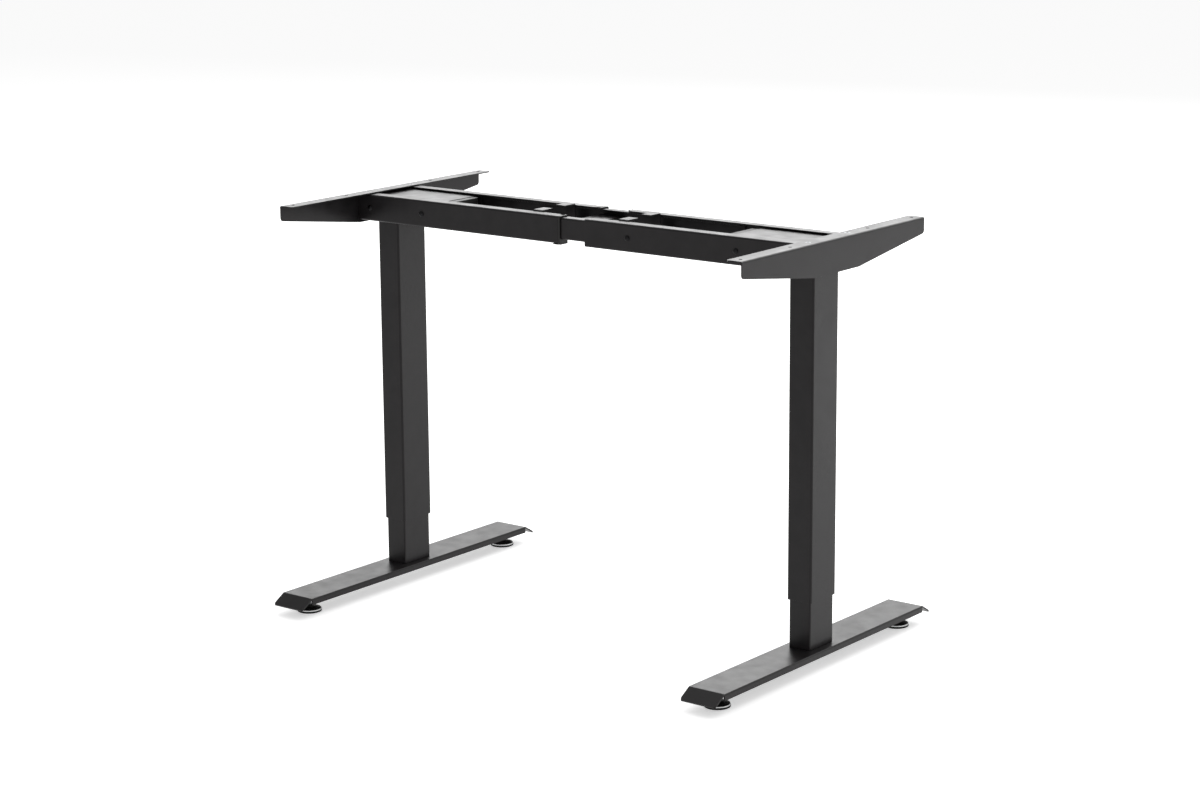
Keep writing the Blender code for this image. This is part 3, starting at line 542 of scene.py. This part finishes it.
# weld nuts under the foot that the glide studs screw into, each with a ring of weld
def makeFootNuts(word, spec):
    low, high = boxMm(f"{word}_foot")
    middle = (low.x + high.x) / 2
    ceiling = high.z - spec["sheet"]
    for faceWord, face in faces:
        y = middleMm(f"{word}_{faceWord}_glide_pad").y
        tag = f"{word}{faceWord.title()}"
        outline = hexagon(spec["nutWidth"], middle, y)
        nut = pushOutline(f"{tag}WeldNut", outline, "z", ceiling - spec["nutDrop"], ceiling - 0.2)
        combineWith(nut, [roundHole("z", spec["nutHole"], (middle, y), 0, ceiling - 0.8)], "DIFFERENCE")
        finishPiece(nut, zinc, f"{word}_base", edge=0.6)
        ring = [(*corner, ceiling - 0.6) for corner in outline]
        seed = seedMesh("nutRing", ring, [(k, (k + 1) % 6) for k in range(6)])
        bead = growPiece(f"{tag}NutWeld", seed, welds, {"Width": spec["weld"] * mm, "Finish": coat})
        finishPiece(bead, coat, f"{word}_base", edge=0)


for word, side in sides:
    makeFoot(word, foot)
    makeFootNuts(word, foot)
print("feet made")


glide = dict(
    soleHeight=3.9, soleHollow=0.6, soleRing=19.0, rimHeight=2.5, rimInset=0.5, rimWidth=3.0, crownRise=3.4,
    collarRadius=9.5, pitch=1.25, threadDepth=0.65, studSeat=6.5)


# rubber sole, bright steel rim and moulded crown, as three rings one above another
def makeGlide(word, faceWord, spec):
    name = f"{word}_{faceWord}_glide"
    low, high = boxMm(name + "_pad")
    studLow, studHigh = boxMm(name + "_stud")
    centre = Vector(((low.x + high.x) / 2, (low.y + high.y) / 2, 0))
    radius = (high.x - low.x) / 2
    rimLow = spec["soleHeight"]
    rimHigh = rimLow + spec["rimHeight"]
    rimRadius = radius - spec["rimInset"]
    rimIn = rimRadius - spec["rimWidth"]
    crownTop = rimHigh + spec["crownRise"]
    collar = spec["collarRadius"]
    hollow, ring = spec["soleHollow"], spec["soleRing"]
    tag = f"{word}{faceWord.title()}Glide"
    sole = turnProfile(tag + "Sole", [
        (0, hollow), (ring - 0.6, hollow), (ring, 0), (radius - 1.2, 0), (radius - 0.3, 0.5), (radius, 1.4),
        (radius, rimLow - 0.4), (radius - 0.4, rimLow), (ring - 1.0, rimLow), (0, rimLow)], centre, steps=72)
    finishPiece(sole, rubber, name, edge=0)
    rim = turnProfile(tag + "Rim", [
        (rimIn, rimLow), (rimRadius - 0.3, rimLow), (rimRadius, rimLow + 0.3), (rimRadius, rimHigh - 0.5),
        (rimRadius - 0.5, rimHigh), (rimIn, rimHigh), (rimIn, rimLow)], centre, steps=72)
    finishPiece(rim, brightSteel, name, edge=0)
    crown = turnProfile(tag + "Crown", [
        (0, rimLow + 0.6), (rimIn - 0.4, rimLow + 0.6), (rimRadius - 1.2, rimHigh),
        (rimRadius - 1.8, rimHigh + 0.6), (collar + 3.5, crownTop - 0.5), (collar + 1.2, crownTop),
        (collar + 0.2, crownTop + 1.2), (collar - 0.6, high.z - 0.4), (collar - 1.2, high.z),
        (4.4, high.z), (4.2, crownTop), (0, crownTop - 1.0)], centre, steps=72)
    finishPiece(crown, plastic, name, [name + "_pad"], edge=0)
    seed = seedMesh("studFoot", [(centre.x, centre.y, high.z - spec["studSeat"])])
    stud = growPiece(tag + "Stud", seed, threads, {
        "Radius": (studHigh.x - studLow.x) / 2 * mm, "Pitch": spec["pitch"] * mm, "Finish": zinc,
        "Depth": spec["threadDepth"] * mm, "Length": (studHigh.z - high.z + spec["studSeat"] - 0.1) * mm})
    finishPiece(stud, zinc, name, [name + "_stud"], edge=0)


for word, side in sides:
    for faceWord, face in faces:
        makeGlide(word, faceWord, glide)
print("glides made")


column = dict(
    outerRadius=4.0, outerWall=1.7, innerRadius=3.0, innerWall=2.0, basePlate=8.0, motorWindow=12.0,
    edge=0.45)


# outer and inner outline of a square tube, from the box that holds it
def tubeOutlines(low, high, radius, wall):
    outer = roundedBox(low.x, high.x, low.y, high.y, radius, 8)
    inner = roundedBox(low.x + wall, high.x - wall, low.y + wall, high.y - wall, max(radius - wall, 0.4), 8)
    return outer, inner


# the upper tube, with the window that the motor reaches in by
def makeOuterTube(word, side, spec):
    low, high = boxMm(f"{word}_outer_column")
    outer, inner = tubeOutlines(low, high, spec["outerRadius"], spec["outerWall"])
    tube = pushOutline(f"{word}OuterTube", outer, "z", low.z, high.z, inner)
    wallX = low.x if side > 0 else high.x
    window = roundHole("x", spec["motorWindow"], (0, middleMm(f"{word}_motor").z), wallX - 6, wallX + 6)
    combineWith(tube, [window], "DIFFERENCE")
    finishPiece(tube, coat, f"{word}_frame", [f"{word}_outer_column"], edge=spec["edge"])


# the lower tube, with the base plate welded into it
def makeInnerTube(word, spec):
    low, high = boxMm(f"{word}_inner_column")
    outer, inner = tubeOutlines(low, high, spec["innerRadius"], spec["innerWall"])
    tube = pushOutline(f"{word}InnerTube", outer, "z", low.z, high.z, inner)
    wall = spec["innerWall"] / 2
    fill = roundedBox(low.x + wall, high.x - wall, low.y + wall, high.y - wall, spec["innerRadius"] - wall, 4)
    combineWith(tube, [pushOutline("fill", fill, "z", low.z, low.z + spec["basePlate"])], "UNION")
    spots = [((low.x + high.x) / 2, y) for y in (-foot["boltSpacing"], foot["boltSpacing"])]
    depth = (low.z - 1, low.z + spec["basePlate"] + 1)
    combineWith(tube, [roundHole("z", foot["boltHole"], spot, *depth) for spot in spots], "DIFFERENCE")
    finishPiece(tube, coat, f"{word}_base", [f"{word}_inner_column"], edge=spec["edge"])


for word, side in sides:
    makeOuterTube(word, side, column)
    makeInnerTube(word, column)
print("columns made")


sheetWork = dict(sheet=2.5, bend=1.2, screwHole=3.3)
bracket = dict(
    endDepth=30.0, flatHalf=72.0, cornerRadius=7.0, bellyRadius=8.0, holeRadius=3.5, innerHole=125.0,
    endHole=275.0, chamfer=3.0, sinkRadius=6.5, sinkRise=0.2)
rails = dict(notchX=12.0, notchY=10.0)


# an angle whose web is deep in the middle and tapers to both ends
def makeBracket(word, side, spec):
    low, high = boxMm(f"{word}_side_bracket")
    sheet = sheetWork["sheet"]
    rim, edge = (high.x, low.x) if side > 0 else (low.x, high.x)
    past = 5.0
    path = [(rim, low.z - past), (rim, high.z), (edge, high.z)]
    section = foldedOutline(path if side > 0 else path[::-1], sheet, sheetWork["bend"], 8)
    body = pushOutline(f"{word}Bracket", section, "y", low.y - past, high.y + past)
    half, top, endZ = high.y, high.z, high.z - spec["endDepth"]
    flatHalf, endRadius, belly = spec["flatHalf"], spec["cornerRadius"], spec["bellyRadius"]
    corners = [(-half, top + past), (-half, endZ), (-flatHalf, low.z), (flatHalf, low.z), (half, endZ),
               (half, top + past)]
    outline = roundedLoop(corners, (0, endRadius, belly, belly, endRadius, 0), 8)
    ends = sorted((rim + side * past, edge - side * past))
    combineWith(body, [pushOutline("outline", outline, "x", *ends)], "INTERSECT")
    through, rise, screwHole = (top - past, top + past), spec["sinkRise"], sheetWork["screwHole"]
    sink = [(0, -sheet - 0.3), (screwHole, -sheet - 0.3), (spec["sinkRadius"], rise), (0, rise)]
    cuts = []
    for faceWord, face in faces:
        end, cut = face * half, spec["chamfer"] + 1
        corner = [(edge - side, end + face), (edge + side * cut, end + face), (edge - side, end - face * cut)]
        cuts.append(pushOutline("corner", corner, "z", *through))
        for y in (spec["innerHole"], spec["endHole"]):
            cuts.append(roundHole("z", spec["holeRadius"], ((rim + edge) / 2, face * y), *through))
        screw = middleMm(f"{word}_{faceWord}_flange_screw")
        cuts.append(turnProfile("sink", sink, (screw.x, screw.y, top), steps=32))
    combineWith(body, cuts, "DIFFERENCE")
    finishPiece(body, coat, f"{word}_frame", [f"{word}_side_bracket"])


# holes for screws through a web whose outside stands at outY
def webHoles(screws, outY, face):
    near, far = sorted((outY + face * 5, outY - face * 8))
    spots = [middleMm(screw) for screw in screws]
    return [roundHole("y", sheetWork["screwHole"], (spot.x, spot.z), near, far) for spot in spots]


# the screws through the web of one rail; the right rails also hold the sliders
def webScrews(word, side, faceWord):
    screws = [f"{word}_{faceWord}_mount_screw_{k}" for k in (1, 2)]
    return screws + [f"{faceWord}_slider_screw"] if side > 0 else screws


# a channel, its top flange cut back at an angle at the mouth
def makeRail(word, side, faceWord, face, spec):
    low, high = boxMm(f"{word}_{faceWord}_rail")
    outY, lipY = (high.y, low.y) if face > 0 else (low.y, high.y)
    body = pushOutline(f"{word}{faceWord.title()}Rail", channelSection(low, high, face), "x", low.x, high.x)
    cuts = webHoles(webScrews(word, side, faceWord), outY, face)
    screw = middleMm(f"{word}_{faceWord}_flange_screw")
    cuts.append(roundHole("z", sheetWork["screwHole"], (screw.x, screw.y), high.z - 6, high.z + 6))
    mouth = low.x if side > 0 else high.x
    notch = [(mouth - side, lipY - face), (mouth + side * spec["notchX"], lipY - face),
             (mouth + side * spec["notchX"], lipY), (mouth - side, lipY + face * spec["notchY"])]
    cuts.append(pushOutline("notch", notch, "z", high.z - 6, high.z + 6))
    combineWith(body, cuts, "DIFFERENCE")
    finishPiece(body, coat, f"{word}_frame", [f"{word}_{faceWord}_rail"])


# the smaller channel that runs inside the rails and bridges the gap between them
def makeSlider(faceWord, face):
    low, high = boxMm(f"{faceWord}_slider")
    body = pushOutline(f"{faceWord}Slider", channelSection(low, high, face), "x", low.x, high.x)
    outY = high.y if face > 0 else low.y
    combineWith(body, webHoles([f"{faceWord}_slider_screw"], outY, face), "DIFFERENCE")
    finishPiece(body, coat, "right_frame", [f"{faceWord}_slider"])


for word, side in sides:
    makeBracket(word, side, bracket)
    for faceWord, face in faces:
        makeRail(word, side, faceWord, face, rails)
for faceWord, face in faces:
    makeSlider(faceWord, face)
print("brackets and rails made")


legMount = dict(sheet=3.0, bend=1.6)
tie = dict(ear=32.0, weldLow=6.0, weldHigh=30.0, weld=2.6)


# the bridge over the column's head, bolted to both rails
def makeLegMount(word, spec):
    low, high = boxMm(f"{word}_leg_mount")
    section = bridgeSection(low, high, spec["sheet"], spec["bend"])
    body = pushOutline(f"{word}LegMount", section, "x", low.x, high.x)
    spots = [middleMm(f"{word}_front_mount_screw_{k}") for k in (1, 2)]
    through = (low.y - 5, high.y + 5)
    holes = [roundHole("y", sheetWork["screwHole"], (spot.x, spot.z), *through) for spot in spots]
    combineWith(body, holes, "DIFFERENCE")
    finishPiece(body, coat, f"{word}_frame", [f"{word}_leg_mount"])


# cradle between the rails, with ears level with the brackets, and the welds that hold it
def makeTie(word, spec):
    low, high = boxMm(f"{word}_tie")
    ear = spec["ear"]
    path = [(low.y + ear, high.z), (low.y, high.z), (low.y, low.z), (high.y, low.z), (high.y, high.z),
            (high.y - ear, high.z)]
    section = foldedOutline(path, sheetWork["sheet"], sheetWork["bend"])
    body = pushOutline(f"{word}Tie", section, "x", low.x, high.x)
    finishPiece(body, coat, f"{word}_frame", [f"{word}_tie"])
    points, edges = [], []
    for y in (low.y - 0.3, high.y + 0.3):
        for x in (low.x, high.x):
            points += [(x, y, low.z + spec["weldLow"]), (x, y, low.z + spec["weldHigh"])]
            edges.append((len(points) - 2, len(points) - 1))
    seed = seedMesh("tieSeam", points, edges)
    bead = growPiece(f"{word}TieWeld", seed, welds, {"Width": spec["weld"] * mm, "Finish": coat})
    finishPiece(bead, coat, f"{word}_frame", edge=0)


def makeCentreTie():
    low, high = boxMm("centre_tie")
    section = bridgeSection(low, high, sheetWork["sheet"], sheetWork["bend"])
    body = pushOutline("centreTie", section, "x", low.x, high.x)
    finishPiece(body, coat, "right_frame", ["centre_tie"])


for word, side in sides:
    makeLegMount(word, legMount)
    makeTie(word, tie)
makeCentreTie()
print("mounts and ties made")


cover = dict(wall=2.5, lid=2.2, cornerRadius=9.0, mouth=14.0, lipGap=0.8, lipDrop=0.9, edge=0.9)


# an open-backed shell over the motor, with a lid at its rounded end and a lip up to the leg mount's top
def makeCover(word, side, spec):
    low, high = boxMm(f"{word}_motor_cover")
    outerX, innerX = (low.x, high.x) if side > 0 else (high.x, low.x)
    radius = spec["cornerRadius"]
    corners = [(innerX, low.y), (innerX, high.y), (outerX, high.y), (outerX, low.y)]
    outline = roundedLoop(corners, (0, 0, radius, radius), 10)
    body = pushOutline(f"{word}MotorCover", outline, "z", low.z, high.z)
    hollowX = sorted((outerX + side * spec["wall"], innerX + side * 5))
    mouthX = sorted((outerX + side * spec["mouth"], innerX + side * 5))
    half = high.y - spec["wall"]
    cuts = []
    for (nearX, farX), topZ in ((hollowX, high.z - spec["lid"]), (mouthX, high.z + 5)):
        box = roundedBox(nearX, farX, -half, half, radius - spec["wall"], 6)
        cuts.append(pushOutline("hollow", box, "z", low.z + spec["wall"], topZ))
    combineWith(body, cuts, "DIFFERENCE")
    mountLow, mountHigh = boxMm(f"{word}_leg_mount")
    lipX = (mountLow.x if side > 0 else mountHigh.x) - side * spec["lipGap"]
    corners = [(lipX, low.y), (lipX, high.y), (outerX, high.y), (outerX, low.y)]
    outline = roundedLoop(corners, (0.5, 0.5, radius, radius), 10)
    lip = pushOutline("lip", outline, "z", high.z - spec["lid"], mountHigh.z - spec["lipDrop"])
    combineWith(body, [lip], "UNION")
    finishPiece(body, plastic, f"{word}_frame", [f"{word}_motor_cover"], edge=spec["edge"])


motor = dict(endStep=1.6, seam=30.0, seamWidth=4.0, canLength=94.0, noseRadius=10.0)


# the can from its end cap, past a rolled seam, to the nose that enters the column
def makeMotor(word, side, spec):
    low, high = boxMm(f"{word}_motor")
    length = high.x - low.x
    radius = (high.z - low.z) / 2
    start = low.x if side > 0 else high.x
    step, seam, can, nose = spec["endStep"], spec["seam"], spec["canLength"], spec["noseRadius"]
    seamEnd = seam + spec["seamWidth"]
    profile = [
        (0, 0), (5, 0), (5.6, step), (radius - 4, step), (radius - 4, 2 * step), (radius - 1.4, 2 * step),
        (radius, 3 * step), (radius, seam), (radius - 0.5, seam + 0.6), (radius - 0.5, seamEnd - 0.6),
        (radius, seamEnd), (radius, can - 4), (radius - 0.6, can - 3), (radius - 3.4, can),
        (nose, can + 0.6), (nose, length - 0.6), (nose - 0.6, length), (0, length)]
    body = turnProfile(f"{word}Motor", profile, (start, 0, (low.z + high.z) / 2), "x", 64, side)
    finishPiece(body, zinc, f"{word}_frame", [f"{word}_motor"], edge=0)


gearbox = dict(cornerRadius=5.0, hubHeight=6.0, hubRadius=12.0, edge=1.0)


# the cast case with a round hub under it for the spindle's bearing
def makeGearbox(word, spec):
    low, high = boxMm(f"{word}_gearbox")
    caseLow = low.z + spec["hubHeight"]
    outline = roundedBox(low.x, high.x, low.y, high.y, spec["cornerRadius"], 6)
    case = pushOutline(f"{word}Gearbox", outline, "z", caseLow, high.z)
    spot = ((low.x + high.x) / 2, (low.y + high.y) / 2)
    combineWith(case, [roundHole("z", spec["hubRadius"], spot, low.z, caseLow + 1, 40)], "UNION")
    finishPiece(case, cast, f"{word}_frame", [f"{word}_gearbox"], edge=spec["edge"])


spindle = dict(pitch=5.0, depth=1.6)


def makeSpindle(word, spec):
    low, high = boxMm(f"{word}_spindle")
    centre = (low + high) / 2
    radius = (high.x - low.x) / 2
    seed = seedMesh("spindleFoot", [(centre.x, centre.y, low.z)])
    rod = growPiece(f"{word}Spindle", seed, threads, {
        "Radius": radius * mm, "Pitch": spec["pitch"] * mm, "Depth": spec["depth"] * mm,
        "Length": (high.z - low.z) * mm, "Finish": zinc})
    finishPiece(rod, zinc, f"{word}_spindle", [f"{word}_spindle"], edge=0)


# a hidden piece keeps its own mesh and only gets the right finish
def dressNode(node, finish):
    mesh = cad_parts[node].data
    mesh.materials.clear()
    mesh.materials.append(finish)


for word, side in sides:
    makeCover(word, side, cover)
    makeMotor(word, side, motor)
    makeGearbox(word, gearbox)
    makeSpindle(word, spindle)
    dressNode(f"{word}_guide_nut", acetal)
    dressNode(f"{word}_lower_guide", acetal)
print("drives made")


mouthInsert = dict(gap=0.3, edge=0.8)


# a plastic collar on the rail's end that the slider runs in, with a tongue under the rail
def makeMouthInsert(faceWord, face, spec):
    low, high = boxMm(f"{faceWord}_mouth_insert")
    sliderLow, sliderHigh = boxMm(f"{faceWord}_slider")
    railLow, railHigh = boxMm(f"left_{faceWord}_rail")
    gap = spec["gap"]
    outY, lipY = (high.y, low.y) if face > 0 else (low.y, high.y)
    inY = (sliderHigh.y + gap) if face > 0 else (sliderLow.y - gap)
    innerLow, innerHigh = sliderLow.z - gap, sliderHigh.z + gap
    corners = [(lipY, high.z), (outY, high.z), (outY, low.z), (lipY, low.z),
               (lipY, innerLow), (inY, innerLow), (inY, innerHigh), (lipY, innerHigh)]
    section = roundedLoop(corners, (0, 2.0, 2.0, 1.0, 0, 0.8, 0.8, 0), 5)
    body = pushOutline(f"{faceWord}MouthInsert", section, "x", railHigh.x + gap, high.x)
    tongue = [(lipY, railLow.z - gap), (outY, railLow.z - gap), (outY, low.z), (lipY, low.z)]
    combineWith(body, [pushOutline("tongue", tongue, "x", low.x, railHigh.x + 1)], "UNION")
    finishPiece(body, plastic, "left_frame", [f"{faceWord}_mouth_insert"], edge=spec["edge"])


for faceWord, face in faces:
    makeMouthInsert(faceWord, face, mouthInsert)
print("mouth inserts made")


railScrew = dict(headRadius=5.4, headHeight=2.6, shankRadius=3.0, length=12.0, keyWidth=3.0, keyDepth=0.7)
sunkScrew = dict(headRadius=6.0, headHeight=2.4, shankRadius=3.0, length=14.0, keyWidth=4.0, keyDepth=1.7)
footBolt = dict(headRadius=7.5, headHeight=5.0, shankRadius=4.0, length=13.3, keyWidth=6.0, keyDepth=3.0)


# the seat is at height 0 and the head stands above it, or lies below it on the sunk screw
def makeFastener(name, spec, shape):
    head, height, shank = spec["headRadius"], spec["headHeight"], spec["shankRadius"]
    if shape == "button":
        turns = [math.pi / 14 * k for k in range(6)]
        crown = [(head * math.cos(t), height * (0.25 + 0.75 * math.sin(t))) for t in turns]
        profile = [(0, height)] + crown[::-1] + [(head, 0.1), (head - 0.2, 0), (shank, 0)]
        top = height
    elif shape == "sunk":
        profile = [(0, 0), (head - 0.2, 0), (head, -0.15), (shank, -height)]
        top = 0
    else:
        rim = [(head - 0.5, height), (head, height - 0.5), (head, 0.2), (head - 0.2, 0)]
        profile = [(0, height)] + rim + [(shank, 0)]
        top = height
    foot = -spec["length"]
    profile += [(shank, foot + 0.8), (shank - 0.8, foot), (0, foot)]
    piece = turnProfile(name, profile, (0, 0, 0), steps=40)
    key = pushOutline("key", hexagon(spec["keyWidth"]), "z", top - spec["keyDepth"], top + 1)
    combineWith(piece, [key], "DIFFERENCE")
    return piece


# one piece from all the fasteners of a kind on one body; a seat is a point and the way its head faces
def placeFasteners(name, shape, seats, finish, body, replaced, seedNumber):
    points = [seat for seat, facing in seats]
    directions = [facing for seat, facing in seats]
    seed = seedMesh(name + "Seats", points, directions=directions)
    piece = growPiece(name, seed, fasteners, {"Fastener": shape, "Finish": finish, "Turn Seed": seedNumber})
    finishPiece(piece, finish, body, replaced, edge=0)


railScrewShape = makeFastener("railScrewShape", railScrew, "button")
sunkScrewShape = makeFastener("sunkScrewShape", sunkScrew, "sunk")
footBoltShape = makeFastener("footBoltShape", footBolt, "cap")
for word, side in sides:
    seats, replaced = [], []
    frameBody, baseBody = f"{word}_frame", f"{word}_base"
    for faceWord, face in faces:
        names = webScrews(word, side, faceWord)
        railLow, railHigh = boxMm(f"{word}_{faceWord}_rail")
        web = (railHigh.y if face > 0 else railLow.y) + face * 0.1
        for name in names:
            spot = middleMm(name)
            seats.append(((spot.x, web, spot.z), (0, face, 0)))
        replaced += names
    placeFasteners(f"{word}RailScrews", railScrewShape, seats, oxide, frameBody, replaced, 3)
    names = [f"{word}_{faceWord}_flange_screw" for faceWord, face in faces]
    seats = [((*middleMm(name).xy, boxMm(name)[1].z), (0, 0, 1)) for name in names]
    placeFasteners(f"{word}FlangeScrews", sunkScrewShape, seats, sunkZinc, frameBody, names, 5)
    names = [f"{word}_{faceWord}_foot_bolt" for faceWord, face in faces]
    head = footBolt["headHeight"]
    seats = [((*middleMm(name).xy, boxMm(name)[0].z + head), (0, 0, -1)) for name in names]
    placeFasteners(f"{word}FootBolts", footBoltShape, seats, zinc, baseBody, names, 7)
for shape in (railScrewShape, sunkScrewShape, footBoltShape):
    bpy.data.objects.remove(shape)
print("fasteners placed")


studio = dict(
    floorSize=60.0, floorHex="#f3f3f3", floorGlow=0.54, skyHex="#ffffff", skyStrength=0.52,
    cameraPlace=(3.260, -4.221, 1.634), azimuth=37.64, elevation=12.70, roll=-0.42, focalLength=86.22)


# white surroundings and a pale floor that glows a little, so that it stays even to the horizon
def makeStudio(spec):
    scene = bpy.context.scene
    scene.view_settings.view_transform = "Standard"
    world = bpy.data.worlds.new("paleStudio")
    world.use_nodes = True
    world.node_tree.nodes.clear()
    sky = addNode(world.node_tree, "ShaderNodeBackground", {
        "Color": toLinear(spec["skyHex"]), "Strength": spec["skyStrength"]})
    addNode(world.node_tree, "ShaderNodeOutputWorld", {"Surface": sky.outputs["Background"]})
    scene.world = world
    half = spec["floorSize"] / 2
    shape = bmesh.new()
    corners = [shape.verts.new((x * half, y * half, 0)) for x, y in ((-1, -1), (1, -1), (1, 1), (-1, 1))]
    shape.faces.new(corners)
    mesh = bpy.data.meshes.new("floor")
    shape.to_mesh(mesh)
    shape.free()
    floor = bpy.data.objects.new("floor", mesh)
    scene.collection.objects.link(floor)
    finish, tree = newFinish("mattPaleFloor")
    closeFinish(tree, {
        "Base Color": toLinear(spec["floorHex"]), "Roughness": 0.95, "Specular IOR Level": 0.0,
        "Emission Color": toLinear(spec["floorHex"]), "Emission Strength": spec["floorGlow"]})
    mesh.materials.append(finish)


# place and target in metres, width and height of the panel, and how bright the panel looks
softboxes = dict(
    backWall=((-3.2, 5.6, 2.1), (-0.2, 0, 0.6), 8.0, 2.4, 1.25),
    upperWall=((-3.3, 5.8, 3.1), (-0.2, 0, 0.7), 8.0, 1.3, 2.8),
    topStrip=((-1.5, 6.2, 4.4), (0, 0, 0.7), 8.0, 1.6, 4.5),
    overhead=((-0.3, 1.2, 3.4), (-0.3, 1.2, 0), 5.0, 4.0, 0.8),
    rightBank=((2.0, 3.0, 1.7), (2.0, 3.0, 0), 4.0, 3.0, 2.0))


def addSoftbox(name, place, target, width, height, radiance):
    light = bpy.data.lights.new(name, "AREA")
    light.shape = "RECTANGLE"
    light.size = width
    light.size_y = height
    light.energy = radiance * math.pi * width * height
    lamp = bpy.data.objects.new(name, light)
    bpy.context.scene.collection.objects.link(lamp)
    lamp.location = place
    lamp.rotation_euler = (Vector(target) - Vector(place)).to_track_quat("-Z", "Y").to_euler()
    lamp.visible_camera = False


# stands at the azimuth round from the front and looks back down at the elevation, tipped by the roll
def makeCamera(spec):
    lens = bpy.data.cameras.new("camera")
    lens.sensor_width = 36.0
    lens.lens = spec["focalLength"]
    camera = bpy.data.objects.new("camera", lens)
    bpy.context.scene.collection.objects.link(camera)
    a, e, r = (math.radians(spec[key]) for key in ("azimuth", "elevation", "roll"))
    back = Vector((math.sin(a) * math.cos(e), -math.cos(a) * math.cos(e), math.sin(e)))
    level = Vector((math.cos(a), math.sin(a), 0))
    upright = back.cross(level)
    right = level * math.cos(r) + upright * math.sin(r)
    up = upright * math.cos(r) - level * math.sin(r)
    turn = Matrix((right, up, back)).transposed()
    camera.matrix_world = Matrix.Translation(spec["cameraPlace"]) @ turn.to_4x4()
    bpy.context.scene.camera = camera


makeStudio(studio)
for name, settings in softboxes.items():
    addSoftbox(name, *settings)
makeCamera(studio)
print("studio ready")
